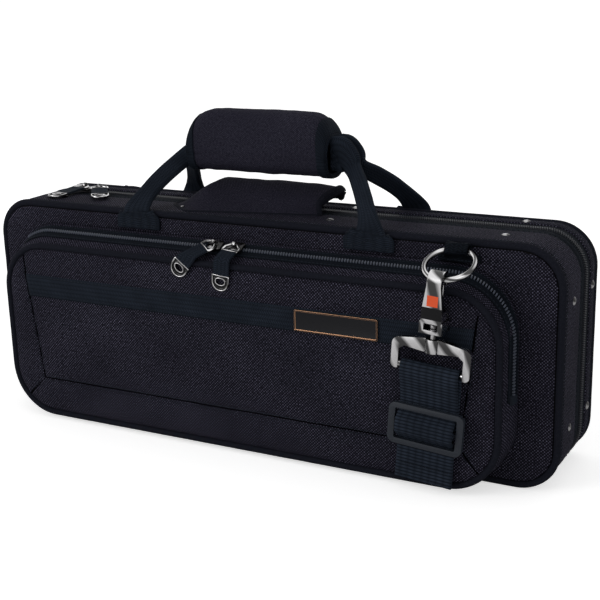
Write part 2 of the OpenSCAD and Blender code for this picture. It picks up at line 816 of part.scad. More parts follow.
module main_slider_left() { main_slider(main_left_x, 1, main_left_yaw); }
module main_slider_right() { main_slider(main_right_x, -1, main_right_yaw); }
module pocket_slider_left() { pocket_slider(pocket_left_x, 1, pocket_left_yaw); }
module pocket_slider_right() { pocket_slider(pocket_right_x, -1, pocket_right_yaw); }

// pull frame: bar on the x axis, the pull runs towards -y
module on_main_pull(x, yaw, tilt) {
    translate([x, 0, slider_z + slider_plate_t + crown_axis]) rotate([0, 0, -yaw]) rotate([tilt, 0, 0])
        children();
}

module on_pocket_pull(x, yaw) {
    on_pocket(x) translate([0, 0, slider_plate_t + crown_axis]) rotate([0, 0, -yaw]) children();
}

// metal bracket: a round bar between two arms that open out to the webbing
module pull_bracket() {
    arm_in = crown_w / 2 + 0.4;
    half = pull_web_w / 2 + 0.6;
    color(chrome) {
        translate([-arm_in - 1, 0, 0]) rotate([0, 90, 0]) cylinder(r = pull_bar_r, h = 2 * arm_in + 2);
        translate([0, 0, -pull_t / 2]) linear_extrude(pull_t) difference() {
            polygon([
                [-arm_in - 1.4, pull_t / 2], [arm_in + 1.4, pull_t / 2], [half, -4],
                [half, -pull_bracket_l], [-half, -pull_bracket_l], [-half, -4]
            ]);
            polygon([
                [-arm_in, 2], [arm_in, 2], [arm_in, -1.5], [half - 1.8, -4],
                [half - 1.8, -pull_bracket_l + 2], [-half + 1.8, -pull_bracket_l + 2],
                [-half + 1.8, -4], [-arm_in, -1.5]
            ]);
        }
    }
}

module pull_web() {
    color(webbing) translate([-pull_web_w / 2, -pull_bracket_l - pull_web_l, -pull_t / 2])
        cube([pull_web_w, pull_web_l, pull_t]);
}

module pull_tip() {
    half = pull_web_w / 2 + 0.4;
    color(chrome) translate([0, -pull_bracket_l - pull_web_l - 0.35, -pull_t * 0.65])
        linear_extrude(pull_t * 1.3) difference() {
            union() {
                translate([-half, -pull_tip_l + half]) square([2 * half, pull_tip_l - half]);
                translate([0, -pull_tip_l + half]) circle(half);
            }
            translate([-2, -pull_tip_l + half - 2.2]) square([4, 4.4]);
            for (s = [-1, 1])
                translate([s * 2, -pull_tip_l + half]) circle(2.2);
        }
}

// the pocket pulls fold down over the piping: straight, round a bend, then down the front
fold_turn = 90 - pocket_slope;
fold_bend_r = 2.5;
fold_arc = fold_bend_r * fold_turn * PI / 180;
fold_start = 14.9;

// a point of the flat pull, x to the right and y back, lifted by dz, after the fold
function folded(x, y, dz) = let (
    s = -y - fold_start,
    a = min(max(s, 0) / fold_bend_r * 180 / PI, fold_turn),
    rest = max(0, s - fold_arc), r = fold_bend_r + dz
) [x, -min(-y, fold_start) - r * sin(a) - rest * cos(a), r * cos(a) - fold_bend_r - rest * sin(a)];

module folded_web(yaw) {
    n = 18;
    m = 6;
    rows = [for (dz = [pull_t / 2, -pull_t / 2]) for (i = [0 : n]) for (j = [0 : m])
        let (s = pull_bracket_l + pull_web_l * i / n, t = pull_web_w * (j / m - 0.5))
            folded(t * cos(yaw) - s * sin(yaw), -t * sin(yaw) - s * cos(yaw), dz)];
    w = m + 1;
    k = (n + 1) * w;
    grid = [for (i = [0 : n - 1]) for (j = [0 : m - 1]) let (a = i * w + j)
        each [[a, a + 1, a + w + 1], [a, a + w + 1, a + w]]];
    under = [for (f = grid) [f[2] + k, f[1] + k, f[0] + k]];
    edge = concat(
        [for (i = [0 : n - 1]) each [[i * w, i * w + w, i * w + w + k], [i * w, i * w + w + k, i * w + k]]],
        [for (i = [0 : n - 1]) let (a = i * w + m)
            each [[a, a + k, a + w + k], [a, a + w + k, a + w]]],
        [for (j = [0 : m - 1]) each [[j, j + k, j + 1 + k], [j, j + 1 + k, j + 1]]],
        [for (j = [0 : m - 1]) let (a = n * w + j)
            each [[a, a + 1, a + 1 + k], [a, a + 1 + k, a + k]]]
    );
    color(webbing) polyhedron(points = rows, faces = concat(grid, under, edge), convexity = 4);
}

module folded_tip(yaw) {
    translate([0, -fold_start, -fold_bend_r]) rotate([fold_turn, 0, 0])
        translate([0, fold_start + fold_arc, fold_bend_r]) rotate([0, 0, -yaw]) pull_tip();
}

module on_pocket_bar(x) {
    on_pocket(x) translate([0, 0, slider_plate_t + crown_axis]) children();
}

// the main pulls lie nearly level over the rivets
main_left_tilt = 3;
main_right_tilt = 2;
module on_left_main() { on_main_pull(main_left_x, main_left_yaw, main_left_tilt) children(); }
module on_right_main() { on_main_pull(main_right_x, main_right_yaw, main_right_tilt) children(); }

module main_pull_left_bracket() { on_left_main() pull_bracket(); }
module main_pull_left_web() { on_left_main() pull_web(); }
module main_pull_left_tip() { on_left_main() pull_tip(); }
module main_pull_right_bracket() { on_right_main() pull_bracket(); }
module main_pull_right_web() { on_right_main() pull_web(); }
module main_pull_right_tip() { on_right_main() pull_tip(); }
module pocket_pull_left_bracket() { on_pocket_pull(pocket_left_x, pocket_left_yaw) pull_bracket(); }
module pocket_pull_left_web() { on_pocket_bar(pocket_left_x) folded_web(pocket_left_yaw); }
module pocket_pull_left_tip() { on_pocket_bar(pocket_left_x) folded_tip(pocket_left_yaw); }
module pocket_pull_right_bracket() { on_pocket_pull(pocket_right_x, pocket_right_yaw) pull_bracket(); }
module pocket_pull_right_web() { on_pocket_bar(pocket_right_x) folded_web(pocket_right_yaw); }
module pocket_pull_right_tip() { on_pocket_bar(pocket_right_x) folded_tip(pocket_right_yaw); }

// ---- carrying rings and their sewn tabs ----

// tab on a face at y, with its sleeve towards side (-1 front, 1 rear)
module ring_tab(x, face, pivot_y, side) {
    low = max(ring_pivot_z - 9.5, pocket_base[3] + 0.4);
    plate_y = side < 0 ? face - tab_t : face;
    color(webbing) difference() {
        union() {
            translate([x - tab_w / 2, plate_y, low]) cube([tab_w, tab_t, 6]);
            translate([x - sleeve_w / 2, plate_y, low]) cube([sleeve_w, tab_t, ring_pivot_z - low]);
            translate([x - sleeve_w / 2, pivot_y, ring_pivot_z]) rotate([0, 90, 0])
                cylinder(r = sleeve_r + sleeve_wall, h = sleeve_w);
        }
        translate([x - sleeve_w, pivot_y, ring_pivot_z]) rotate([0, 90, 0])
            cylinder(r = sleeve_r, h = 2 * sleeve_w);
    }
}

module front_ring_tab() { ring_tab(ring_x, front_face, front_ring_y, -1); }
module rear_ring_tab() { ring_tab(rear_ring_x, rear_face, rear_ring_y, 1); }

module ring_at(x, y, slope, side) {
    color(chrome) translate([x, y, ring_pivot_z]) rotate([side * -slope, 0, 0])
        translate([0, side * ring_r, 0]) rotate_extrude() translate([ring_r, 0]) circle(ring_wire_r);
}

module front_ring() { ring_at(ring_x, front_ring_y, ring_slope, -1); }
module rear_ring() { ring_at(rear_ring_x, rear_ring_y, rear_ring_slope + 8, 1); }

// ---- snap hook, yoke and strap ----

// chain frame: origin in the middle of the hook's eye, leaning as the strap hangs
module on_chain() {
    translate([chain_x, chain_y, chain_z]) rotate([0, strap_lean, 0])
        translate([0, 0, -eye_drop]) children();
}

// side view of the hook in y and z: front strip, bow over the ring and short tip
module hook_profile() {
    difference() {
        circle(hook_half);
        circle(eye_r);
        translate([-hook_half - 1, -2 * hook_half]) square([2 * hook_half + 2, 2 * hook_half]);
    }
    translate([-hook_half, band_z]) square([hook_t, -band_z]);
    translate([eye_r, gate_top + 0.2]) square([hook_t, -gate_top - 0.2]);
}

// front view of the hook in x and z: a face that widens towards its foot
module hook_front() {
    polygon([
        [-hook_top_w / 2, hook_half + 1], [hook_top_w / 2, hook_half + 1],
        [hook_top_w / 2, -2], [hook_foot_w / 2, -18], [hook_foot_w / 2, band_z],
        [-hook_foot_w / 2, band_z], [-hook_foot_w / 2, -18], [-hook_top_w / 2, -2]
    ]);
}

module hook_body() {
    cheek_z = gate_axis_z + 3;
    color(chrome) on_chain() difference() {
        union() {
            intersection() {
                along_x(-hook_foot_w, hook_foot_w) hook_profile();
                along_y(-2 * hook_half, 2 * hook_half) hook_front();
            }
            // block that carries the gate's pin
            along_x(-hook_foot_w / 2, hook_foot_w / 2) union() {
                translate([-hook_half, band_z]) square([2 * hook_half, cheek_z - band_z - 2]);
                translate([-hook_half, band_z]) square([2 * hook_half - 2, cheek_z - band_z]);
                translate([hook_half - 2.3, cheek_z - 2.3]) circle(2.3);
            }
            // bracket round the head of the swivel
            along_y(-hook_half, hook_half) translate([-bracket_w / 2, bracket_bottom])
                square([bracket_w, band_z - bracket_bottom + 0.01]);
        }
        // slot for the gate
        translate([-gate_w / 2 - 0.2, -1.2, band_z + 1]) cube([gate_w + 0.4, 2 * hook_half, -band_z]);
        // hole for the gate's pin
        translate([-hook_foot_w, gate_axis_y, gate_axis_z]) rotate([0, 90, 0])
            cylinder(r = gate_pin_r + 0.02, h = 2 * hook_foot_w);
        // window and hole for the swivel
        along_y(-2 * hook_half, 2 * hook_half) translate([-window_w / 2, window_bottom])
            square([window_w, window_top - window_bottom]);
        translate([0, 0, bracket_bottom - 1]) cylinder(r = stem_r + fit, h = 5);
    }
}

module gate_pin() {
    color(chrome) on_chain() translate([-hook_foot_w / 2, gate_axis_y, gate_axis_z])
        rotate([0, 90, 0]) cylinder(r = gate_pin_r, h = hook_foot_w);
}

// gate: a flat thumb strip that closes the hook from behind and turns on the pin
module hook_gate() {
    knuckle = 2.1;
    color(chrome) on_chain() along_x(-gate_w / 2, gate_w / 2) difference() {
        union() {
            translate([gate_axis_y, gate_axis_z]) circle(knuckle);
            translate([hook_half - 2.2, gate_axis_z]) square([1.9, gate_top - gate_axis_z]);
            translate([hook_half - 2.2, gate_top - 5]) square([2.6, 1.2]);
        }
        translate([gate_axis_y, gate_axis_z]) circle(gate_pin_r + fit);
    }
}

// leaf spring in the slot, between the front strip and the gate
module gate_spring() {
    color(chrome) on_chain() along_x(-gate_w / 2 + 0.6, gate_w / 2 - 0.6) strip([
        [-0.9, gate_axis_z - 2], [-0.9, gate_axis_z + 1.5], [0.6, gate_axis_z + 5.5],
        [hook_half - 2.85, gate_axis_z + 9]
    ], 0.4);
}

module yoke_outline() {
    w = yoke_half;
    difference() {
        union() {
            polygon([
                [-5, yoke_top], [5, yoke_top], [w - 5, yoke_top - 2.4], [w - 5, bar_z - 2.6],
                [-w + 5, bar_z - 2.6], [-w + 5, yoke_top - 2.4]
            ]);
            for (s = [-1, 1]) {
                translate([s * (w - 5), yoke_top - 7.4]) circle(5);
                translate([s * (w - 3.2), bar_z + 0.6]) circle(3.2);
                translate([s > 0 ? w - 5 : -w, bar_z + 0.6]) square([5, yoke_top - 7.4 - bar_z - 0.6]);
            }
        }
        polygon([
            [-5.2, yoke_top - 8.6], [5.2, yoke_top - 8.6], [w - 8, yoke_top - 7.4],
            [w - 4.6, yoke_top - 10], [w - 4.6, bar_z - 8], [-w + 4.6, bar_z - 8],
            [-w + 4.6, yoke_top - 10], [-w + 8, yoke_top - 7.4]
        ]);
    }
}

// cast yoke: swivel stem with its head, two arms and the bar for the webbing
module strap_yoke() {
    head_z = window_bottom + 0.15;
    color(chrome) on_chain() {
        along_y(-yoke_t / 2, yoke_t / 2) yoke_outline();
        translate([0, 0, yoke_top - 8.6]) cylinder(r = 4.6, h = 8.6);
        translate([0, 0, yoke_top]) cylinder(r = stem_r, h = window_bottom - yoke_top + 0.5);
        translate([0, 0, head_z]) cylinder(r = 3.2, h = 2.2);
        translate([-yoke_half + 4, 0, bar_z]) rotate([0, 90, 0]) cylinder(r = bar_r, h = 2 * yoke_half - 8);
    }
}

// side view of the webbing: tail, behind, over and behind the adjuster's bars, over the
// yoke's bar and back down to the adjuster's middle bar
behind = adjuster_t / 2 + 0.2 + strap_t / 2;
over = mid_bar_r + 0.15 + strap_t + 0.25 + strap_t / 2;
fold = fold_r + strap_t / 2;
wrap_r = mid_bar_r + 0.15 + strap_t / 2;
rail_top = adjuster_z + adjuster_h / 2;
rail_low = adjuster_z - adjuster_h / 2;
front_route = concat(
    [
        [behind, tail_end], [behind, rail_low + rail_h + 0.5], [-over, adjuster_z - 3],
        [-over, adjuster_z + 3], [behind, rail_top - rail_h - 0.5], [behind, rail_top + 1],
        [-fold, bar_z - 5]
    ],
    [for (a = [180 : -20 : 0]) [fold * cos(a), bar_z + fold * sin(a)]],
    [
        [fold, bar_z - 4], [behind + strap_t + 0.3, bar_z - 10],
        [behind + strap_t + 0.3, adjuster_z + 8]
    ],
    [for (a = [30 : -28 : -250]) [wrap_r * cos(a), adjuster_z + wrap_r * sin(a)]]
);

module strap_webbing() {
    color(webbing) on_chain() along_x(-strap_w / 2, strap_w / 2) strip(front_route, strap_t);
}

// plastic adjuster with two windows and a round middle bar
module strap_adjuster() {
    window_l = strap_w + 2.5;
    color(plastic) on_chain() {
        along_y(-adjuster_t / 2, adjuster_t / 2) difference() {
            rounded([-adjuster_l / 2, adjuster_l / 2, rail_low, rail_top, 4.5]);
            rounded([-window_l / 2, window_l / 2, rail_low + rail_h, rail_top - rail_h, 1]);
        }
        translate([-window_l / 2 - 1, 0, adjuster_z]) rotate([0, 90, 0])
            cylinder(r = mid_bar_r, h = window_l + 2);
    }
}

rear_shell();
rear_side_panel();
rear_face_panel();
rear_piping();
rear_zip_tape();
rear_zip_teeth();
rear_rivets();
flute_block();
hinge_web();
rear_handle_loop();
grip_wrap();
rear_ring_tab();
front_shell();
front_side_panel();
front_face_panel();
front_piping();
front_zip_tape();
front_zip_teeth();
front_rivets();
lid_lining();
front_handle_loop();
front_ring_tab();
pocket_gusset();
pocket_front_panel();
pocket_piping();
pocket_zip_tape();
pocket_zip_teeth();
webbing_stripe();
bare_plate();
zip_flap();
main_slider_left();
main_slider_right();
pocket_slider_left();
pocket_slider_right();
main_pull_left_bracket();
main_pull_left_web();
main_pull_left_tip();
main_pull_right_bracket();
main_pull_right_web();
main_pull_right_tip();
pocket_pull_left_bracket();
pocket_pull_left_web();
pocket_pull_left_tip();
pocket_pull_right_bracket();
pocket_pull_right_web();
pocket_pull_right_tip();
front_ring();
rear_ring();
hook_body();
hook_gate();
gate_pin();
gate_spring();
strap_yoke();
strap_webbing();
strap_adjuster();
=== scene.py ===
"""Flute case, built over its CAD frame: cloth, webbing, zips, handle, flap, pocket and strap.

Lengths in the helpers are millimetres in the row frame; properties are metres. The case stands
on its long edge, its zip closes on the plane y = 0, and x runs along it.
"""

import math

import bmesh
import bpy
from bpy.props import FloatProperty, FloatVectorProperty, PointerProperty
from mathutils import Matrix, Vector, noise


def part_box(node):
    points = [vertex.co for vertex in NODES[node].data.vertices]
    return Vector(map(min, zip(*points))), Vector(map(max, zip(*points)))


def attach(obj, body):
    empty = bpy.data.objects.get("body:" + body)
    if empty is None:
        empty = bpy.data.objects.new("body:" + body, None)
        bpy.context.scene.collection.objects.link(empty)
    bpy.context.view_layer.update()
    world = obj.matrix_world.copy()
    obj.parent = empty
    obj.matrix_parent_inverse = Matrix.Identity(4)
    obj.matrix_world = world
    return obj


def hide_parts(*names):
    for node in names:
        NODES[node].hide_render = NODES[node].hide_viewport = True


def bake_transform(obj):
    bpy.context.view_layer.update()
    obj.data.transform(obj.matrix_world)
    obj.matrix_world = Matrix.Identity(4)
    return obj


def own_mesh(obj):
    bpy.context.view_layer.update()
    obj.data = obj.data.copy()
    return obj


bl_info = {
    "name": "Flute case",
    "version": (1, 0, 0),
    "blender": (4, 5, 0),
    "location": "View3D > Sidebar > Flute case",
    "description": "Builds a soft-sided flute case with zips, pocket, handle and strap",
    "category": "Add Mesh",
}

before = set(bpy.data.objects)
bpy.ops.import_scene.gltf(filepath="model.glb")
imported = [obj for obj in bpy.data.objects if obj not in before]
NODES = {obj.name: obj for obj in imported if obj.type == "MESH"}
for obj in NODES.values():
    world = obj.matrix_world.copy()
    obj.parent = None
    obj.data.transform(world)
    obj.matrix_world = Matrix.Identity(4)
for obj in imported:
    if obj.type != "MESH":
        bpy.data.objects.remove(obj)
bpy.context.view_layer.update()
MM = 0.001


# ---- properties -------------------------------------------------------------------------


def length_property(name, description, default, low, high):
    """A length in metres within its limits."""
    return FloatProperty(
        name=name, description=description, default=default, min=low, max=high,
        unit="LENGTH", precision=4,
    )


def colour_property(name, description, default):
    """A linear colour."""
    return FloatVectorProperty(
        name=name, description=description, default=default, min=0, max=1, size=3, subtype="COLOR",
    )


def power_property(name, description, default):
    """The strength of a light."""
    return FloatProperty(name=name, description=description, default=default, min=0)


class FLUTE_PG_case(bpy.types.PropertyGroup):
    """Sizes of the two half shells."""

    length: length_property("Length", "Length over the piping", 0.430, 0.3, 0.6)
    height: length_property("Height", "Height over the piping", 0.158, 0.1, 0.25)
    front_depth: length_property("Front depth", "Zip to the front face", 0.048, 0.03, 0.08)
    rear_depth: length_property("Rear depth", "Zip to the rear face", 0.025, 0.02, 0.06)
    corner: length_property("Corner radius", "Radius of the outer corners", 0.028, 0.015, 0.05)
    piping: length_property("Piping radius", "Radius of the edge piping", 0.0025, 0.001, 0.004)
    tape: length_property("Zip tape", "Width of zip tape on each half", 0.010, 0.006, 0.015)


class FLUTE_PG_pocket(bpy.types.PropertyGroup):
    """Sizes of the front pocket."""

    depth: length_property("Depth", "How far the pocket stands out", 0.025, 0.015, 0.05)
    left: length_property("Left", "Case end to the pocket's left edge", 0.021, 0.01, 0.05)
    right: length_property("Right", "Case end to the pocket's right edge", 0.030, 0.01, 0.06)
    top: length_property("Top", "Case top to the pocket's top edge", 0.025, 0.01, 0.05)
    bottom: length_property("Bottom", "Floor to the pocket's lower edge", 0.0025, 0.002, 0.02)
    corner: length_property("Corner radius", "Radius of the front panel", 0.036, 0.02, 0.05)
    flare: length_property("Flare", "How much wider the pocket's foot is", 0.010, 0, 0.02)
    piping: length_property("Piping radius", "Radius of the pocket's piping", 0.0022, 0.001, 0.004)
    puff: length_property("Padding", "Height of the quilted padding", 0.0016, 0, 0.005)


class FLUTE_PG_handle(bpy.types.PropertyGroup):
    """Sizes of the carrying handle and the zip flap."""

    grip_length: length_property("Grip length", "Length of the padded grip", 0.107, 0.08, 0.16)
    grip_height: length_property("Grip height", "Height of the padded grip", 0.042, 0.02, 0.06)
    grip_depth: length_property("Grip depth", "Front to back of the grip", 0.030, 0.015, 0.045)
    grip_x: length_property("Grip place", "Grip's middle along the case", -0.0065, -0.1, 0.1)
    grip_rise: length_property("Grip rise", "Grip's middle over the case", 0.046, 0.03, 0.08)
    patch_x: length_property("Patch place", "Case's middle to a sewn patch", 0.088, 0.06, 0.12)
    patch_width: length_property("Patch width", "Width of a sewn patch", 0.035, 0.02, 0.045)
    patch_height: length_property("Patch height", "Height of a sewn patch", 0.013, 0.005, 0.03)
    loop_rise: length_property("Loop rise", "Webbing in the grip over the case", 0.037, 0.03, 0.05)
    leg_width: length_property("Leg width", "Width of the folded webbing", 0.013, 0.01, 0.03)
    leg_thickness: length_property("Leg thickness", "Folded webbing", 0.0044, 0.001, 0.006)


class FLUTE_PG_strap(bpy.types.PropertyGroup):
    """Sizes of the shoulder strap."""

    width: length_property("Width", "Width of the strap's webbing", 0.038, 0.025, 0.05)
    thickness: length_property("Thickness", "Thickness of the webbing", 0.0016, 0.001, 0.003)


class FLUTE_PG_look(bpy.types.PropertyGroup):
    """Colours and the size of the weave."""

    cloth: colour_property("Cloth", "Colour of the cloth", (0.0070, 0.0068, 0.0108))
    # glint is painted highlight: the glints of light on the weave, put into the cloth's colour.
    glint: colour_property("Glint", "Colour of the cloth's bright yarns", (0.24, 0.23, 0.335))
    webbing: colour_property("Webbing", "Colour of the webbing", (0.0095, 0.0125, 0.0185))
    piping: colour_property("Piping", "Colour of the piping", (0.0095, 0.0105, 0.0155))
    lining: colour_property("Lining", "Colour of the plush lining", (0.085, 0.012, 0.028))
    metal: colour_property("Metal", "Colour of the plated metal", (0.72, 0.71, 0.72))
    plastic: colour_property("Plastic", "Colour of the strap adjuster", (0.017, 0.021, 0.029))
    enamel: colour_property("Enamel", "Colour of the hook's bare inlay", (0.80, 0.085, 0.012))
    border: colour_property("Plate border", "Colour of the plate's border", (0.55, 0.30, 0.17))
    yarn: length_property("Yarn", "Width of one yarn of the cloth", 0.00105, 0.0003, 0.004)


class FLUTE_PG_stage(bpy.types.PropertyGroup):
    """Floor, lights and camera."""

    floor: colour_property("Floor", "Colour of the floor", (0.92, 0.92, 0.92))
    key: power_property("Key light", "Power of the key light", 14)
    fill: power_property("Fill light", "Power of the fill light", 2)
    glow: power_property("Glow", "Floor's white towards the camera", 0.6)
    ambient: power_property("Ambient", "World light on the case", 0.5)
    focal: FloatProperty(
        name="Focal length", description="Lens of the photograph's camera", default=73.0, min=10,
        unit="CAMERA",
    )


GROUPS = {
    "flute_case": FLUTE_PG_case,
    "flute_pocket": FLUTE_PG_pocket,
    "flute_handle": FLUTE_PG_handle,
    "flute_strap": FLUTE_PG_strap,
    "flute_look": FLUTE_PG_look,
    "flute_stage": FLUTE_PG_stage,
}


class Sizes:
    """The properties of a group, with its lengths in millimetres."""

    def __init__(self, group):
        self.group = group

    def __getattr__(self, key):
        return getattr(self.group, key) / MM


def case_sizes():
    return Sizes(bpy.context.scene.flute_case)


def pocket_sizes():
    return Sizes(bpy.context.scene.flute_pocket)


def handle_sizes():
    return Sizes(bpy.context.scene.flute_handle)


def strap_sizes():
    return Sizes(bpy.context.scene.flute_strap)


def look():
    return bpy.context.scene.flute_look


# ---- materials --------------------------------------------------------------------------


class Nodes:
    """Short hand for building a material's nodes."""

    def __init__(self, name):
        self.material = bpy.data.materials.new(name)
        self.material.use_nodes = True
        self.tree = self.material.node_tree
        self.shader = self.tree.nodes["Principled BSDF"]

    def add(self, kind, **values):
        node = self.tree.nodes.new(kind)
        for key, value in values.items():
            setattr(node, key, value)
        return node

    def link(self, out, into):
        self.tree.links.new(out, into)

    def split(self, vector):
        node = self.add("ShaderNodeSeparateXYZ")
        self.link(vector, node.inputs["Vector"])
        return node.outputs

    def own_place(self):
        return self.add("ShaderNodeTexCoord").outputs["Object"]

    def maths(self, operation, a, b=None, c=None, clamp=False):
        node = self.add("ShaderNodeMath", operation=operation, use_clamp=clamp)
        for socket, value in zip(node.inputs, (a, b, c)):
            if value is None:
                continue
            if isinstance(value, (int, float)):
                socket.default_value = value
            else:
                self.link(value, socket)
        return node.outputs[0]

    def mix(self, factor, a, b):
        node = self.add("ShaderNodeMix", data_type="RGBA")
        self.link(factor, node.inputs["Factor"])
        for key, value in (("A", a), ("B", b)):
            socket = [s for s in node.inputs if s.name == key and s.type == "RGBA"][0]
            if isinstance(value, tuple):
                socket.default_value = value
            else:
                self.link(value, socket)
        return [s for s in node.outputs if s.type == "RGBA"][0]

    def noise(self, vector, scale, detail=2.0, roughness=0.5):
        node = self.add("ShaderNodeTexNoise")
        self.link(vector, node.inputs["Vector"])
        node.inputs["Scale"].default_value = scale
        node.inputs["Detail"].default_value = detail
        node.inputs["Roughness"].default_value = roughness
        return node.outputs["Fac"]

    def colour(self, tone):
        self.link(tone, self.shader.inputs["Base Color"])

    def set(self, **values):
        for key, value in values.items():
            self.shader.inputs[key.replace("_", " ")].default_value = value

    def bump(self, height, distance, strength=1.0):
        node = self.add("ShaderNodeBump")
        node.inputs["Distance"].default_value = distance
        node.inputs["Strength"].default_value = strength
        self.link(height, node.inputs["Height"])
        self.link(node.outputs["Normal"], self.shader.inputs["Normal"])


def colour4(value, gain=1.0):
    """A colour with its alpha, brightened by a gain."""
    return (*[min(1.0, c * gain) for c in value], 1.0)


def scaled(colour, gain):
    return tuple(c * gain for c in colour)


def weave_coordinates(n):
    """The piece's own UV, laid out in metres: along, across and both."""
    uv = n.add("ShaderNodeUVMap", uv_map="weave").outputs["UV"]
    parts = n.split(uv)
    return parts["X"], parts["Y"], uv


def ridges(n, value, width):
    """Rounded ridges of a width, from 0 between them to 1 on top."""
    return n.maths("ABSOLUTE", n.maths("SINE", n.maths("MULTIPLY", value, math.pi / width)))


# Bumps are metres high; a column of herringbone is this many ribs wide.
WEAVE_ROUGHNESS, CLOTH_SPECULAR, WEBBING_SPECULAR = 0.7, 0.02, 0.03
WEAVE_BUMP, BUMP_STRENGTH = 0.0003, 0.8
COLUMN_RIBS = 2.2


def cloth_material(name, base, glint, yarn, depth=WEAVE_BUMP, share=1.0):
    """Basket weave: checks of yarns, with a painted highlight in the glint colour on the crown of
    every other one; the bump gives the relief.
    """
    n = Nodes(name)
    x, y, uv = weave_coordinates(n)
    cells = n.maths("ADD", n.maths("FLOOR", n.maths("MULTIPLY", x, 1 / yarn)),
                    n.maths("FLOOR", n.maths("MULTIPLY", y, 1 / yarn)))
    over = n.maths("MODULO", n.maths("ABSOLUTE", cells), 2)
    crown = n.maths("POWER", n.maths("MULTIPLY", ridges(n, x, yarn), ridges(n, y, yarn)), 1.3)
    height = n.maths("MULTIPLY", crown, n.maths("MULTIPLY_ADD", over, 0.65, 0.35))
    speck = n.maths("MULTIPLY_ADD", n.noise(uv, 700.0, 1.0), 2.2, -0.62)
    cloud = n.maths("MULTIPLY_ADD", n.noise(uv, 22.0, 3.0), 1.3, 0.1)
    # Painted highlight: the glint colour on the crowns of every other yarn, patchy with noise.
    painted_glint_share = n.maths("MULTIPLY", n.maths("MULTIPLY", crown, over), speck, clamp=True)
    painted_glint_share = n.maths("MULTIPLY", painted_glint_share, cloud, clamp=True)
    n.colour(n.mix(n.maths("MULTIPLY", painted_glint_share, share), colour4(base), colour4(glint)))
    n.set(Roughness=WEAVE_ROUGHNESS, Specular_IOR_Level=CLOTH_SPECULAR)
    n.bump(height, depth, BUMP_STRENGTH)
    return n.material


def webbing_material(name, base, rib=0.0013, slant=1.1):
    """Herringbone webbing: fine ribs across, in columns that lean to and fro, with painted shade in
    the grooves and painted highlight on the ribs' tops.
    """
    n = Nodes(name)
    x, y, uv = weave_coordinates(n)
    width = rib * COLUMN_RIBS
    column = n.maths("PINGPONG", n.maths("MULTIPLY", y, 1.0 / width), 1.0)
    lean = n.maths("MULTIPLY_ADD", column, slant, n.maths("MULTIPLY", x, 1.0 / rib))
    rows = n.maths("MULTIPLY_ADD", ridges(n, y, width), 0.5, 0.5)
    height = n.maths("MULTIPLY", ridges(n, lean, 1.0), rows)
    cloud = n.maths("MULTIPLY_ADD", n.noise(uv, 60.0, 2.0), 0.8, 0.2)
    # Painted shade and highlight: the colour runs from dark in the grooves to light on the ribs'
    # tops, by the ribs' height.
    n.colour(n.mix(n.maths("MULTIPLY", height, cloud), colour4(base, 0.4), colour4(base, 3.2)))
    n.set(Roughness=WEAVE_ROUGHNESS, Specular_IOR_Level=WEBBING_SPECULAR)
    n.bump(height, WEAVE_BUMP, BUMP_STRENGTH)
    return n.material


def plain_material(name, colour, roughness, metallic=0.0, specular=0.5, grain=0.0, scale=600.0):
    """One colour, with a fine grain where one is given."""
    n = Nodes(name)
    n.set(Base_Color=colour4(colour), Roughness=roughness, Metallic=metallic,
          Specular_IOR_Level=specular)
    if grain:
        n.bump(n.noise(n.own_place(), scale, 3.0), grain, 0.6)
    return n.material


def metal_material(name, colour):
    """Bright plate with a painted reflection of pale and dark stripes, set by its facing and its
    place, and painted shade in its hollows.
    """
    n = Nodes(name)
    place = n.own_place()
    facing, own = n.split(n.add("ShaderNodeNewGeometry").outputs["Normal"]), n.split(place)
    # Painted reflection: stripes whose phase follows the surface's facing and its place along the
    # piece.
    painted_reflection_phase = n.maths("MULTIPLY_ADD", facing["Z"], 4.6, n.maths("MULTIPLY", facing["X"], 3.4))
    painted_reflection_phase = n.maths("MULTIPLY_ADD", own["X"], 420.0, painted_reflection_phase)
    painted_reflection_phase = n.maths("MULTIPLY_ADD", own["Z"], 90.0, painted_reflection_phase)
    painted_reflection_bands = n.maths("MULTIPLY_ADD", n.maths("SINE", painted_reflection_phase), 0.85, 0.55, clamp=True)
    # Painted shade: the colour darkens where ambient occlusion finds a hollow within 3 mm.
    painted_shade_occlusion = n.add("ShaderNodeAmbientOcclusion", samples=8)
    painted_shade_occlusion.inputs["Distance"].default_value = 0.003
    painted_shade_factor = n.maths("POWER", painted_shade_occlusion.outputs["AO"], 2.2)
    n.colour(n.mix(n.maths("MULTIPLY", painted_reflection_bands, painted_shade_factor), colour4(colour, 0.10), colour4(colour)))
    n.set(Metallic=1.0, Roughness=0.2)
    n.bump(n.noise(place, 260.0, 3.0), 0.00003, 0.5)
    return n.material


def plush_material(name, colour):
    """Short dull pile with a soft sheen."""
    n = Nodes(name)
    place = n.own_place()
    cloud = n.maths("MULTIPLY_ADD", n.noise(place, 35.0, 3.0), 0.6, 0.2)
    n.colour(n.mix(cloud, colour4(colour, 0.7), colour4(colour, 1.5)))
    n.set(Roughness=0.95, Specular_IOR_Level=0.15, Sheen_Weight=0.5, Sheen_Roughness=0.5)
    n.bump(n.noise(place, 1500.0, 2.0), 0.0006, 0.9)
    return n.material


MADE = {}


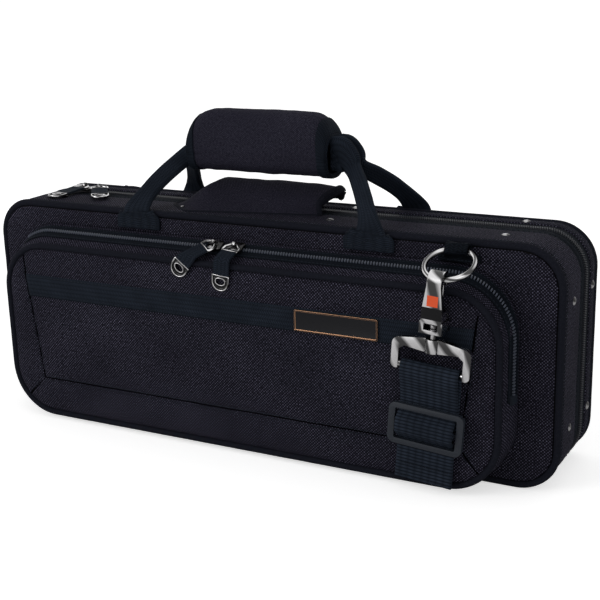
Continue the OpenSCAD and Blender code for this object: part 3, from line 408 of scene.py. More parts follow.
def materials():
    """Every material by name, made once."""
    if not MADE:
        m = look()
        cloth, glint, webbing = tuple(m.cloth), tuple(m.glint), tuple(m.webbing)
        MADE.update(
            cloth=cloth_material("black_cloth", cloth, glint, m.yarn),
            # fine_cloth and piping_cloth carry the painted glint too; fine_cloth's doubled colour
            # is partly the smoother cloth's lighter tone and partly painted sheen.
            cloth_fine=cloth_material("fine_cloth", scaled(cloth, 2.0), glint, m.yarn * 0.6,
                                      depth=0.0002, share=0.55),
            piping=cloth_material("piping_cloth", tuple(m.piping), scaled(glint, 0.5),
                                  m.yarn * 0.5, depth=0.0002, share=0.3),
            webbing=webbing_material("woven_webbing", webbing),
            strap=webbing_material("ribbed_webbing", scaled(webbing, 1.25), 0.0022, 0.06),
            zip_tape=webbing_material("woven_tape", scaled(webbing, 0.5), 0.0009),
            binding=webbing_material("bound_edge", scaled(webbing, 0.75), 0.0011),
            tab=webbing_material("crumpled_tab", scaled(webbing, 0.4)),
            thread=plain_material("black_thread", scaled(webbing, 1.2), 0.6, specular=0.1),
            # Near-black matte sheet: painted shade, laid along the quilt's seams and inside the
            # grip's open ends.
            crease=plain_material("seam_crease", (0.0015, 0.0015, 0.002), 1.0, specular=0.0),
            # Pocket coil: lighter than the main zip's teeth, a painted highlight of the coil's
            # glint.
            coil=plain_material("zip_coil", (0.095, 0.108, 0.14), 0.3),
            teeth=plain_material("zip_teeth", (0.022, 0.024, 0.031), 0.4, specular=0.3),
            metal=metal_material("plated_metal", tuple(m.metal)),
            rivet=metal_material("rivet_metal", scaled(m.metal, 0.55)),
            enamel=plain_material("inlay_enamel", tuple(m.enamel), 0.25, grain=0.00002),
            enamel_black=plain_material("band_enamel", (0.004, 0.004, 0.005), 0.15,
                                        specular=0.2),
            plate=plain_material("plate_face", (0.006, 0.006, 0.008), 0.3, specular=0.2),
            plate_border=plain_material("plate_border", tuple(m.border), 0.3, metallic=1.0),
            plastic=plain_material("black_plastic", tuple(m.plastic), 0.42, specular=0.3,
                                   grain=0.00004, scale=1800.0),
            board=plain_material("fibre_board", (0.012, 0.011, 0.011), 0.85, specular=0.05,
                                 grain=0.0002, scale=900.0),
            plush=plush_material("plush_lining", tuple(m.lining)),
        )
    return MADE


# ---- mesh helpers -----------------------------------------------------------------------


CUBE = []
# Points along a long side, a short side and a corner of an outline.
ROUND, POCKET_ROUND = (110, 36, 14), (110, 36, 20)
SAME_POINT = 1e-7


def add_object(name, mesh, material_names):
    """An object of a mesh, with its materials, in the scene."""
    made = bpy.data.objects.new(name, mesh)
    bpy.context.collection.objects.link(made)
    for material in material_names:
        mesh.materials.append(materials()[material])
    return made


def unit_cube():
    """Corners and faces of a cube one unit long, made once."""
    if not CUBE:
        bm = bmesh.new()
        bmesh.ops.create_cube(bm, size=1)
        bm.verts.index_update()
        CUBE.append(([v.co.copy() for v in bm.verts],
                     [[v.index for v in f.verts] for f in bm.faces]))
        bm.free()
    return CUBE[0]


class Piece:
    """A mesh made of strips and blocks, with a UV map in metres for the weaves."""

    def __init__(self, name):
        self.name = name
        self.bm = bmesh.new()
        self.uv = self.bm.loops.layers.uv.new("weave")

    def grid(self, rows, close_u=False, close_v=False, caps=False, slot=0, uv=None):
        """Extrude a row of points through the others; u runs from row to row, v along a row."""
        bm, points_in_row = self.bm, len(rows[0])
        rows = [[Vector(p) for p in row] for row in rows]
        if close_u:
            rows.append(rows[0])
        us, vs, middle = [0.0], [0.0], points_in_row // 2
        for a, b in zip(rows, rows[1:]):
            us.append(us[-1] + (b[middle] - a[middle]).length)
        widest = rows[len(rows) // 2]
        for a, b in zip(widest, widest[1:] + widest[:1]):
            vs.append(vs[-1] + (b - a).length)
        first = line = [bm.verts.new(p * MM) for p in rows[0]]
        column = {v: j for j, v in enumerate(line)}
        onward = line[1:] + (line[:1] if close_v else [])
        edges = [bm.edges.new(pair) for pair in zip(line, onward)]
        for i in range(1, len(rows)):
            geom = bmesh.ops.extrude_edge_only(bm, edges=edges)["geom"]
            fresh = {g for g in geom if isinstance(g, bmesh.types.BMVert)}
            last, line = line, []
            for v in last:
                twin = next(e.other_vert(v) for e in v.link_edges if e.other_vert(v) in fresh)
                twin.co = rows[i][column[v]] * MM
                column[twin] = column[v]
                line.append(twin)
            edges = [g for g in geom if isinstance(g, bmesh.types.BMEdge)
                     and g.verts[0] in fresh and g.verts[1] in fresh]
            for face in (g for g in geom if isinstance(g, bmesh.types.BMFace)):
                found = [column[v] for v in face.verts]
                face.smooth = True
                face.material_index = slot if isinstance(slot, int) else slot[min(found)]
                seam = close_v and max(found) - min(found) > 1
                for loop in face.loops:
                    k, j = (i if loop.vert in fresh else i - 1), column[loop.vert]
                    across = points_in_row if seam and j == 0 else j
                    place = uv(rows[k][j]) if uv else (us[k], vs[across])
                    loop[self.uv].uv = [c * MM for c in place]
        if close_u:
            bmesh.ops.remove_doubles(bm, verts=first + line, dist=SAME_POINT)
        if caps:
            for row in (first, line[::-1]):
                face = bm.faces.new(row)
                face.material_index = slot
                for loop in face.loops:
                    loop[self.uv].uv = (loop.vert.co.y, loop.vert.co.z)

    def block(self, centre, axes, size, slot=0, taper=0.0):
        """A small box, copied from one cube; axes are three unit vectors, size its full lengths."""
        points, quads = unit_cube()
        turn = Matrix([Vector(a) * s * MM for a, s in zip(axes, size)]).transposed()
        place, made = Vector(centre) * MM, []
        for p in points:
            t = 1 - taper if p.z > 0 else 1
            made.append(self.bm.verts.new(place + turn @ Vector((p.x * t, p.y * t, p.z))))
        for quad in quads:
            self.bm.faces.new([made[i] for i in quad]).material_index = slot

    def done(self, material_names, body=None, replaces=(), weld=0.0, slot=None):
        """Turn the piece into an object that stands for CAD solids and rides on a body."""
        if weld:
            bmesh.ops.remove_doubles(self.bm, verts=self.bm.verts, dist=weld * MM)
        bmesh.ops.recalc_face_normals(self.bm, faces=self.bm.faces)
        mesh = bpy.data.meshes.new(self.name)
        self.bm.to_mesh(mesh)
        self.bm.free()
        made = add_object(self.name, mesh, material_names)
        if replaces:
            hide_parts(*replaces)
        if body:
            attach(made, body)
        return made


def between(a, b, t):
    """The pair of numbers a share t of the way from pair a to pair b."""
    return a[0] + (b[0] - a[0]) * t, a[1] + (b[1] - a[1]) * t


def on_circle(radius, degrees):
    """Both coordinates of a point on a circle round the origin."""
    a = math.radians(degrees)
    return radius * math.cos(a), radius * math.sin(a)


def arc(centre, radius, degrees):
    """Points on a circle round a centre, one at each angle."""
    found = []
    for angle in degrees:
        a, b = on_circle(radius, angle)
        found.append((centre[0] + a, centre[1] + b))
    return found


def rounded(o, long_n, short_n, arc_n):
    """Points (x, z, nx, nz) round a rounded rectangle (left, right, bottom, top, radius)."""
    left, right, low, top, k = o
    found = []
    sides = (
        ((left + k, low), (right - k, low), (0, -1), long_n, (right - k, low + k), -90),
        ((right, low + k), (right, top - k), (1, 0), short_n, (right - k, top - k), 0),
        ((right - k, top), (left + k, top), (0, 1), long_n, (left + k, top - k), 90),
        ((left, top - k), (left, low + k), (-1, 0), short_n, (left + k, low + k), 180),
    )
    for start, end, n, count, centre, angle in sides:
        for i in range(count):
            found.append((*between(start, end, i / count), *n))
        for i in range(arc_n):
            nx, nz = on_circle(1, angle + 90 * i / arc_n)
            found.append((centre[0] + k * nx, centre[1] + k * nz, nx, nz))
    return found


def shrink(o, d):
    """An outline a distance d further in; its corner's centres move with it."""
    return (o[0] + d, o[1] - d, o[2] + d, o[3] - d, o[4] - d)


def resample(path, pitch):
    """Points at an even pitch on a path: each with its tangent, its span and share of it."""
    points, total, lengths = [Vector(p) for p in path], 0.0, [0.0]
    for a, b in zip(points, points[1:]):
        total += (b - a).length
        lengths.append(total)
    count = max(1, round(total / pitch))
    found, i = [], 0
    for k in range(count + 1):
        s = total * k / count
        while i < len(lengths) - 2 and lengths[i + 1] < s:
            i += 1
        span = lengths[i + 1] - lengths[i]
        f = (s - lengths[i]) / span if span else 0
        a, b = points[i], points[i + 1]
        found.append((a.lerp(b, f), (b - a).normalized(), i, f))
    return found


def smooth_path(points, steps=6):
    """Catmull-Rom curve through points, which may carry more numbers than three."""
    ends = [points[0]] + list(points) + [points[-1]]
    found = []
    for i in range(len(points) - 1):
        p0, p1, p2, p3 = ends[i:i + 4]
        for k in range(steps):
            t = k / steps
            found.append(tuple(
                0.5 * (2 * b + (c - a) * t + (2 * a - 5 * b + 4 * c - d) * t * t
                       + (3 * b - a - 3 * c + d) * t ** 3)
                for a, b, c, d in zip(p0, p1, p2, p3)
            ))
    return found + [tuple(points[-1])]


def ribbon_section(width, thickness, steps=8):
    """Closed section of a woven band: flat faces and rounded edges."""
    half, edge = width / 2, min(thickness / 2, width / 6)
    flat = half - edge
    top = [(-flat + 2 * flat * i / steps, thickness / 2) for i in range(steps + 1)]
    side = []
    for degrees in (35, 65, 90, 115, 145):
        z, x = on_circle(1, degrees)
        side.append((flat + edge * x, thickness / 2 * z))
    low = [(x, -z) for x, z in reversed(top)]
    return top + side + low + [(-x, z) for x, z in reversed(side)]


def sweep(piece, path, sides, widths, thicknesses, slot=0, wave=0.0, seed=0.0):
    """A woven band along a path; sides give the width's direction at each point."""
    rows, count = [], len(path)
    points = [Vector(p) for p in path]
    for i, p in enumerate(points):
        d = (points[min(i + 1, count - 1)] - points[max(i - 1, 0)]).normalized()
        s = Vector(sides[i])
        s = (s - d * s.dot(d)).normalized()
        u = d.cross(s)
        row = []
        for a, b in ribbon_section(widths[i], thicknesses[i]):
            lift = wave * noise.noise(Vector((i * 0.21, a * 0.11, seed))) if wave else 0.0
            row.append(p + s * a + u * (b + lift))
        rows.append(row)
    piece.grid(rows, close_v=True, caps=True, slot=slot)


# Width of the sewing thread and the share of a stitch's pitch that shows.
THREAD, THREAD_SHARE = 0.5, 0.68


def stitches(piece, path, normals, pitch=3.4, lift=0.18):
    """A row of short threads, the piece's second material, along a path on a surface."""
    size = (pitch * THREAD_SHARE, THREAD, THREAD * 0.7)
    for p, d, i, _ in resample(path, pitch)[:-1]:
        n = Vector(normals[i] if isinstance(normals, list) else normals).normalized()
        side = n.cross(d).normalized()
        piece.block(p + d * (pitch / 2) + n * lift, (d, side, n), size, 1, taper=0.25)


# Pressure, length in frames and the furthest that a point may move in millimetres.
FILL_PRESSURE, FILL_FRAMES, FILL_CAP = 4.0, 10, 0.8


def inflate(made, free):
    """Fill a padded piece by a short cloth simulation, in which only the points in free move."""
    group = made.vertex_groups.new(name="sewn")
    group.add([i for i in range(len(made.data.vertices)) if i not in free], 1.0, "REPLACE")
    cloth = made.modifiers.new("filling", "CLOTH")
    sim, scene = cloth.settings, bpy.context.scene
    sim.quality, sim.mass = 5, 0.05
    sim.tension_stiffness = sim.compression_stiffness = 15
    sim.shear_stiffness, sim.bending_stiffness = 5, 0.3
    sim.use_pressure, sim.uniform_pressure_force = True, FILL_PRESSURE
    sim.vertex_group_mass = group.name
    sim.effector_weights.gravity = 0
    cloth.point_cache.frame_start, cloth.point_cache.frame_end = 1, FILL_FRAMES
    for number in range(1, FILL_FRAMES + 1):
        scene.frame_set(number)
    filled = made.evaluated_get(bpy.context.evaluated_depsgraph_get()).data
    moved = [v.co.copy() for v in filled.vertices]
    for v, q in zip(made.data.vertices, moved):
        step = q - v.co
        v.co += step * min(1.0, FILL_CAP * MM / max(step.length, 1e-9))
    made.modifiers.remove(cloth)
    made.vertex_groups.remove(group)
    scene.frame_set(1)


def wrinkle(x, y, z, scale, amount, seed=0.0):
    """Smooth unevenness of cloth, at a place and of a size in millimetres."""
    place = Vector((x / scale, y / scale, z / scale + seed))
    return amount * noise.fractal(place, 1.0, 2.0, 3)


def smooth(t):
    """An even rise from 0 to 1 with soft ends."""
    t = min(max(t, 0.0), 1.0)
    return t * t * (3 - 2 * t)


def rise(distance, reach):
    """A rise from 0 at a seam to nearly 1 within about twice the reach."""
    return 1 - math.exp(-distance / reach)


def groove(distance, width):
    """A dent of depth 1 at distance 0, as a row of stitches pulls into cloth."""
    return math.exp(-(distance / width) ** 2)


def case_outline():
    """The case's outline over its piping, seen from the front."""
    c = case_sizes()
    return (-c.length / 2, c.length / 2, 0.0, c.height, c.corner)


def pocket_outlines():
    """The outline of the pocket's front and that of its foot on the case."""
    c, p = case_sizes(), pocket_sizes()
    face = (-c.length / 2 + p.left, c.length / 2 - p.right, p.bottom, c.height - p.top, p.corner)
    base = (face[0] - p.flare * 0.7, face[1] + 0.3 * p.flare, p.bottom, face[3] + p.flare,
            p.corner + p.flare * 0.6)
    return face, base


def panel_rows(o, nx, nz, place):
    """Rows from the bottom to the top of a rounded rectangle; place(x, z) gives a point."""
    left, right, low, top, k = o
    rows = []
    for j in range(nz + 1):
        s = j / nz
        z = low + (top - low) * (s - 0.06 * math.sin(2 * math.pi * s))
        d = max(low + k - z, z - (top - k), 0.0)
        inset = k - math.sqrt(max(k * k - d * d, 0.0))
        span = right - left - 2 * inset
        rows.append([place(left + inset + span * i / nx, z) for i in range(nx + 1)])
    return rows


def rim(rows):
    """The edge of a grid, as one closed loop."""
    return (rows[0] + [row[-1] for row in rows[1:]] + rows[-1][-2::-1]
            + [row[0] for row in rows[-2:0:-1]])


def flat_uv(p):
    """Weave coordinates of a panel that faces along y."""
    return p[0], p[2]


def panel(piece, o, nx, nz, place, back):
    """A padded panel: its shaped front, a turned rim and a flat back at y = back."""
    rows = panel_rows(o, nx, nz, place)
    piece.grid(rows, uv=flat_uv)
    edge = rim(rows)
    piece.grid([edge, [(p[0], back, p[2]) for p in edge]], close_v=True, uv=flat_uv)
    piece.grid([[(p[0], back, p[2]) for p in row] for row in rows], uv=flat_uv)


def edge_distance(o, x, z):
    """How far inside a rounded rectangle a point lies."""
    left, right, low, top, k = o
    dx = max(left + k - x, x - (right - k), 0.0)
    dz = max(low + k - z, z - (top - k), 0.0)
    if dx and dz:
        return k - math.hypot(dx, dz)
    return min(x - left, right - x, z - low, top - z)


def roll(piece, o, inset, y, radius, seed):
    """Piping that follows an outline, a little uneven along its length."""
    rows = []
    for k, (x, z, nx, nz) in enumerate(rounded(shrink(o, inset), *ROUND)):
        r = radius * (1 + 0.03 * noise.noise(Vector((k * 0.33, seed, 1.7))))
        row = []
        for degrees in range(0, 360, 30):
            out, along = on_circle(r, degrees)
            row.append((x + nx * out, y + along, z + nz * out))
        rows.append(row)
    piece.grid(rows, close_u=True, close_v=True)


def band(piece, o, section, keep=None, shape=None):
    """A closed section of (inset, y) pairs carried round an outline, or a stretch of it."""
    points = rounded(o, *ROUND)
    if keep:
        points = points[keep[0]:keep[1]]
    rows = []
    for x, z, nx, nz in points:
        row = []
        for d, y in section:
            inset = shape(x, z, d, y) if shape else d
            row.append((x - nx * inset, y, z - nz * inset))
        rows.append(row)
    piece.grid(rows, close_u=keep is None, close_v=True, caps=bool(keep))
    return points


FLAT_ANGLE, SHARP_ANGLE, SHADE_ANGLE = math.radians(0.6), math.radians(32), math.radians(40)


def hard_piece(node, material_names, body, bevel, paint=None):
    """The CAD piece with softened edges and its real finish."""
    source = NODES[node]
    bm = bmesh.new()
    bm.from_mesh(source.data)
    bm.transform(source.matrix_world)
    bmesh.ops.remove_doubles(bm, verts=bm.verts, dist=1e-6)
    bmesh.ops.dissolve_limit(
        bm, angle_limit=FLAT_ANGLE, verts=bm.verts, edges=bm.edges, use_dissolve_boundaries=False,
    )
    if bevel:
        sharp = [
            e for e in bm.edges
            if len(e.link_faces) == 2 and e.calc_face_angle(0.0) > SHARP_ANGLE
        ]
        bmesh.ops.bevel(
            bm, geom=sharp, offset=bevel * MM, offset_type="OFFSET", segments=2, profile=0.5,
            affect="EDGES", clamp_overlap=True, material=-1,
        )
    bmesh.ops.recalc_face_normals(bm, faces=bm.faces)
    for face in bm.faces:
        face.smooth = True
    if paint:
        paint(bm)
    mesh = bpy.data.meshes.new(node + "_finished")
    bm.to_mesh(mesh)
    bm.free()
    mesh.set_sharp_from_angle(angle=SHADE_ANGLE)
    made = add_object(node + "_finished", mesh, material_names)
    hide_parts(node)
    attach(made, body)
    return made


# ---- operators --------------------------------------------------------------------------


# Name, side of the zip along y and body of each half.
HALVES = (("front", -1, "lid"), ("rear", 1, "base"))
# Depths below the outline: the cloth's buried back, its seams and the bed of the zip tape.
BURIED, SEAM_DEPTH, TAPE_BED = 2.45, 0.95, 1.7
# Distances of the side's two seams from the tape and from the piping.
TAPE_SEAM, PIPING_SEAM = 2.6, 2.2
FACE_GRID = (170, 66)
# Height and reach of the padding; size, amount and seed of its unevenness; depth, place and
# width of the dent along its edge.
FACE_PADDING = {
    "front": (0.35, 4.0, 30.0, 0.12, 0.0, 0.3, 3.0, 0.8),
    "rear": (0.8, 9.0, 46.0, 0.25, 5.0, 0.35, 3.2, 0.9),
}


class FLUTE_OT_shells(bpy.types.Operator):
    """Build the padded cloth, faces and piping of both halves"""

    bl_idname = "flute.shells"
    bl_label = "Cloth shells"

    def execute(self, context):
        c, o = case_sizes(), case_outline()
        for half, sign, body in HALVES:
            depth = c.front_depth if sign < 0 else c.rear_depth
            self.side(half, sign, body, o, c.tape, depth - 2 * c.piping)
            self.face(half, sign, body, shrink(o, 2 * c.piping + 0.1), depth)
            edge = Piece(half + "_edge_piping")
            roll(edge, o, c.piping, sign * (depth - c.piping), c.piping - 0.05, sign)
            edge.done(["piping"], body, [half + "_piping"], slot="piping")
        return {"FINISHED"}

    def side(self, half, sign, body, o, start, end):
        """Cloth round the side, bulging between two stitched seams."""
        span, steps = end - start, 14
        section = []
        for i in range(steps + 1):
            t = i / steps
            y = start + 0.15 + (span - 0.1) * t
            inset = {0: 1.75, steps: 1.9}.get(i, 1.0 - 0.3 * math.sin(math.pi * t))
            inset += 0.28 * groove(y - start - TAPE_SEAM, 0.7)
            inset += 0.2 * groove(y - end + PIPING_SEAM, 0.8)
            section.append((inset, sign * y))
        section += [(BURIED, sign * (end + 0.1)), (BURIED, sign * (start + 0.1))]

        def uneven(x, z, d, y):
            return d if d > 2.0 else d + wrinkle(x, y * 2.2, z, 26.0, 0.16, sign * 3.0)

        side = Piece(half + "_side_cloth")
        points = band(side, o, section, shape=uneven)
        normals = [(nx, 0, nz) for _, _, nx, nz in points]
        for y in (start + TAPE_SEAM, end - PIPING_SEAM):
            path = [(x - nx * SEAM_DEPTH, sign * y, z - nz * SEAM_DEPTH)
                    for x, z, nx, nz in points + points[:1]]
            stitches(side, path, normals, lift=0.1)
        side.done(["cloth", "thread"], body, [half + "_side_panel"], slot="cloth")

    def face(self, half, sign, body, inside, depth):
        """Padded face; the front one is flatter, because the pocket lies on it."""
        height, reach, scale, amount, seed, dent, dent_at, dent_width = FACE_PADDING[half]

        def place(x, z):
            e = edge_distance(inside, x, z)
            puff = height * rise(e, reach) + wrinkle(x, 0, z, scale, amount, seed)
            puff -= dent * groove(e - dent_at, dent_width)
            return (x, sign * (depth + puff - 0.45), z)

        face = Piece(half + "_face_cloth")
        panel(face, inside, *FACE_GRID, place, sign * (depth - 1.4))
        face.done(["cloth"], body, [half + "_face_panel"], weld=0.001, slot="cloth")


def zip_teeth(piece, frames, sign, edges, heights, width, stagger=0.0):
    """A row of moulded coil turns; frames are (point, tangent, outward, across).

    A turn reaches between two edges beside the line and between two heights over it.
    """
    (inner, outer), (base, top) = edges, heights
    for p, d, n, a in frames:
        centre = p + d * stagger + a * (sign * (inner + outer) / 2) + n * ((base + top) / 2)
        piece.block(centre, (d, a, n), (width, outer - inner, top - base), taper=0.22)


class FLUTE_OT_main_zip(bpy.types.Operator):
    """Build the main zip's tapes and teeth and the cloth hinge"""

    bl_idname = "flute.main_zip"
    bl_label = "Main zip"

    def execute(self, context):
        c, o = case_sizes(), case_outline()
        pitch = 1.5
        first, last = ROUND[0], 2 * ROUND[0] + 2 * ROUND[1] + 4 * ROUND[2]
        for half, sign, body in HALVES:
            tape = Piece(half + "_tape")
            outer = [(1.75, 0.5), (TAPE_BED, 3.0), (1.72, 6.0), (TAPE_BED, c.tape - 0.05)]
            section = [(BURIED, 0.5)] + outer + [(BURIED, c.tape - 0.05)]
            points = band(tape, o, [(d, sign * y) for d, y in section], keep=(first, last))
            spine = [(x - nx * TAPE_BED, 0.0, z - nz * TAPE_BED) for x, z, nx, nz in points]
            normals = [Vector((nx, 0, nz)) for _, _, nx, nz in points]
            stitches(tape, [(x, sign * 5.4, z) for x, _, z in spine], normals, pitch=2.8,
                     lift=0.05)
            tape.done(["zip_tape", "thread"], body, [half + "_zip_tape"], slot="zip")

            teeth, frames = Piece(half + "_teeth"), []
            for p, d, i, f in resample(spine, pitch):
                out = normals[i].lerp(normals[min(i + 1, len(normals) - 1)], f).normalized()
                frames.append((p, d, out, Vector((0, 1, 0))))
            zip_teeth(teeth, frames[1:-1], sign, (0.35, 1.9), (0.02, 1.15), 0.8,
                      stagger=pitch / 2 if sign > 0 else 0.0)
            teeth.done(["teeth"], body, [half + "_zip_teeth"], slot="teeth")
        self.hinge(c.length / 2 - c.corner - 1.3, c.tape - 0.3)
        return {"FINISHED"}

    def hinge(self, half_length, half_width):
        """Webbing along the bottom, between the lid and the base."""
        rows = []
        for i in range(61):
            x = -half_length + 2 * half_length * i / 60
            ys = [-half_width + 2 * half_width * j / 12 for j in range(13)]
            under = [(x, y, 1.2 + 0.12 * math.cos(math.pi * (j - 6) / 6)
                      + wrinkle(x, j, 0, 12.0, 0.1)) for j, y in enumerate(ys)]
            rows.append(under + [(x, -y, 2.2) for y in ys])
        web = Piece("hinge_cloth")
        web.grid(rows, close_v=True, caps=True)
        made = web.done(["webbing"], None, ["hinge_web"], slot="webbing")
        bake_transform(made)


class FLUTE_OT_lining(bpy.types.Operator):
    """Build the plush lining of both halves"""

    bl_idname = "flute.lining"
    bl_label = "Plush lining"

    def execute(self, context):
        for node, body in (("flute_block", "base"), ("lid_lining", "lid")):
            source = NODES[node]
            mesh = source.data.copy()
            mesh.transform(source.matrix_world)
            mesh.materials.clear()
            made = add_object(node + "_plush", mesh, ["plush"])
            fine = made.modifiers.new("voxels", "REMESH")
            fine.mode, fine.voxel_size, fine.use_smooth_shade = "VOXEL", 0.0021, True
            soft = made.modifiers.new("soften", "SMOOTH")
            soft.factor, soft.iterations = 0.5, 3
            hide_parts(node)
            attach(made, body)
        return {"FINISHED"}


# The grip's middle front to back, and from there to each loop of webbing inside it.
GRIP_Y, LOOP_GAP = -12.0, 4.6


def handle_leg(side, y0, y1):
    """Points, widths and thicknesses of one leg, from its patch to the grip."""
    c, h = case_sizes(), handle_sizes()
    foot, top = c.height, c.height + h.loop_rise
    x, wide, flat = side * h.patch_x, h.patch_width, 2.2
    leg, thick = h.leg_width, h.leg_thickness
    found = [(x, y0, foot - h.patch_height, wide, flat), (x, y0, foot - 5.5, wide, flat),
             (x, y0, foot - 2.2, wide * 0.8, flat + 0.2)]
    start = Vector((x, y0, foot + 1))
    bend = Vector((x - side * 4, y0 + (y1 - y0) * 0.25, foot + 15))
    upper = Vector((h.grip_x / 2 + side * (h.grip_length / 2 + 12.4), y1, foot + 32))
    widths = [wide * 0.56, leg + 2] + [leg] * 4
    thicks = [flat + 0.4, thick - 1] + [thick] * 4
    for i, (w, t) in enumerate(zip(widths, thicks)):
        p = start.lerp(bend, i / 5).lerp(bend.lerp(upper, i / 5), i / 5)
        found.append((*p, w, t))
    end = h.grip_x + side * h.grip_length / 2
    if side > 0:
        found += [(end + 11.5, y1, top + 1.0, leg + 6, thick),
                  (end + 6, y1, top + 4.2, leg + 11, thick + 1),
                  (end + 1.5, y1, top + 2.6, leg + 10, thick)]
    else:
        found.append((end - 1.5, y1, top - 0.3, leg, thick))
    return found + [(end - side * 8, y1, top, leg, thick)]


class FLUTE_OT_handle(bpy.types.Operator):
    """Build the two webbing loops and the padded grip of the handle"""

    bl_idname = "flute.handle"
    bl_label = "Carrying handle"

    def execute(self, context):
        c, h = case_sizes(), handle_sizes()
        self.loop(c, h, "front_handle_loop", "lid", -c.front_depth, -1)
        self.loop(c, h, "rear_handle_loop", "base", c.rear_depth, 1)
        self.grip(c, h)
        return {"FINISHED"}

    def loop(self, c, h, name, body, face, out):
        """One webbing loop, folded through the grip and sewn on with a crossed box."""
        y0, y1 = face + out * 1.2, GRIP_Y + out * LOOP_GAP
        points = smooth_path(handle_leg(-1, y0, y1) + handle_leg(1, y0, y1)[::-1])
        sides = []
        for i in range(len(points)):
            before, after = points[max(i - 1, 0)], points[min(i + 1, len(points) - 1)]
            d = (Vector(after[:3]) - Vector(before[:3])).normalized()
            s = d.cross(Vector((0, 1, 0)))
            sides.append(s if s.length > 0.2 else Vector((1, 0, 0)))
        loop = Piece(name + "_webbing")
        sweep(loop, [p[:3] for p in points], sides, [p[3] for p in points],
              [p[4] for p in points], wave=0.25, seed=out)
        reach, y = h.patch_width / 2 - 2.5, y0 + out * 1.1
        z0, z1 = c.height - h.patch_height + 1.8, c.height - 1.5
        for middle in (-h.patch_x, h.patch_x):
            x0, x1 = middle - reach, middle + reach
            box = [(x0, y, z0), (x1, y, z0), (x1, y, z1), (x0, y, z1), (x0, y, z0)]
            lines = [[a, b] for a, b in zip(box, box[1:])]
            for line in lines + [[box[0], box[2]], [box[1], box[3]]]:
                stitches(loop, line, (0, out, 0), pitch=2.4)
        loop.done(["webbing", "thread"], body, [name], slot="webbing")

    def grip(self, c, h):
        """Padded sleeve with bound ends, wrapped round both loops."""
        half, depth, height = h.grip_length / 2, h.grip_depth, h.grip_height
        low, shoulder, count, pinned = c.height + h.grip_rise - height / 2, height * 0.42, 64, 9
        rows = []
        for i in range(count + 1):
            s = i / count
            x = -half + 2 * half * (s - 0.09 * math.sin(2 * math.pi * s) / 1.4)
            d = max(abs(x) - (half - shoulder), 0.0)
            top = height - shoulder + math.sqrt(max(shoulder ** 2 - (d * 0.97) ** 2, 0.0))
            corner, full = min(depth * 0.42, top * 0.45), rise(half - abs(x), 7.0)
            row = []
            for y, z, ny, nz in rounded((-depth / 2, depth / 2, 0, top, corner), 8, 10, 6):
                puff = 0.9 * full * math.sin(math.pi * min(max(z / top, 0), 1))
                puff += wrinkle(x + GRIP_Y, y * 1.6, z, 17.0, 0.55, 2.0) * full
                if ny < -0.5:
                    puff -= 0.8 * groove(z - height * 0.30, 0.9)
                row.append((h.grip_x + x, GRIP_Y + y + ny * puff, low + z + nz * puff))
            rows.append(row)
        grip = Piece("grip_sleeve")
        grip.grid(rows, close_v=True)
        for row, sign in ((rows[0], -1), (rows[-1], 1)):
            self.end(grip, c, h, [Vector(p) for p in row], sign)
        for sign in (-1, 1):
            bound = [row for row in rows if half - (row[0][0] - h.grip_x) * sign < 6.5]
            self.binding(grip, bound[::-sign], Vector((0, GRIP_Y, low + height / 2)))
        # The third material is the near-black sheet of painted shade inside the open ends.
        made = grip.done(["cloth_fine", "binding", "crease"], "base", ["grip_wrap"], slot="cloth")
        width = len(rows[0])
        inflate(made, set(range(pinned * width, (count + 1 - pinned) * width)))
        anchor = (h.grip_x * MM, (GRIP_Y + LOOP_GAP) * MM, (c.height + h.grip_rise) * MM)
        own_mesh(made)

    def end(self, grip, c, h, row, sign):
        """The sleeve's rolled rim, and its inside in the near-black sheet of painted shade, open
        round the webbing.
        """
        middle = Vector((row[0].x, GRIP_Y, c.height + h.loop_rise + 2))
        inner = []
        for p in row:
            q = p - middle
            k = min((LOOP_GAP + 2) / max(abs(q.y), 0.1), (h.leg_width / 2 + 1) / max(abs(q.z), 0.1))
            inner.append(middle + q * min(k, 0.92))
        out = Vector((sign, 0, 0))
        rolled = [p.lerp(q, 0.16) + out * 1.1 for p, q in zip(row, inner)]
        inside = [p.lerp(q, 0.42) - out * 0.4 for p, q in zip(row, inner)]
        grip.grid([row, rolled, inside], close_v=True, slot=1)
        grip.grid([inside, inner, [q - out * 7 for q in inner]], close_v=True, slot=2)

    def binding(self, grip, rows, middle):
        """A band bound over one end of the sleeve."""
        layers = []
        for lift, order in ((0.75, 1), (0.1, -1)):
            for row in rows[::order]:
                layers.append([Vector(p) + (Vector((0, p[1], p[2])) - middle).normalized() * lift
                               for p in row])
        grip.grid(layers, close_u=True, close_v=True, slot=1)


# The flap's cut size in metres, and its height over the case in millimetres.
FLAP_CUT, FLAP_HEIGHT = (0.114, 0.066), 17.2


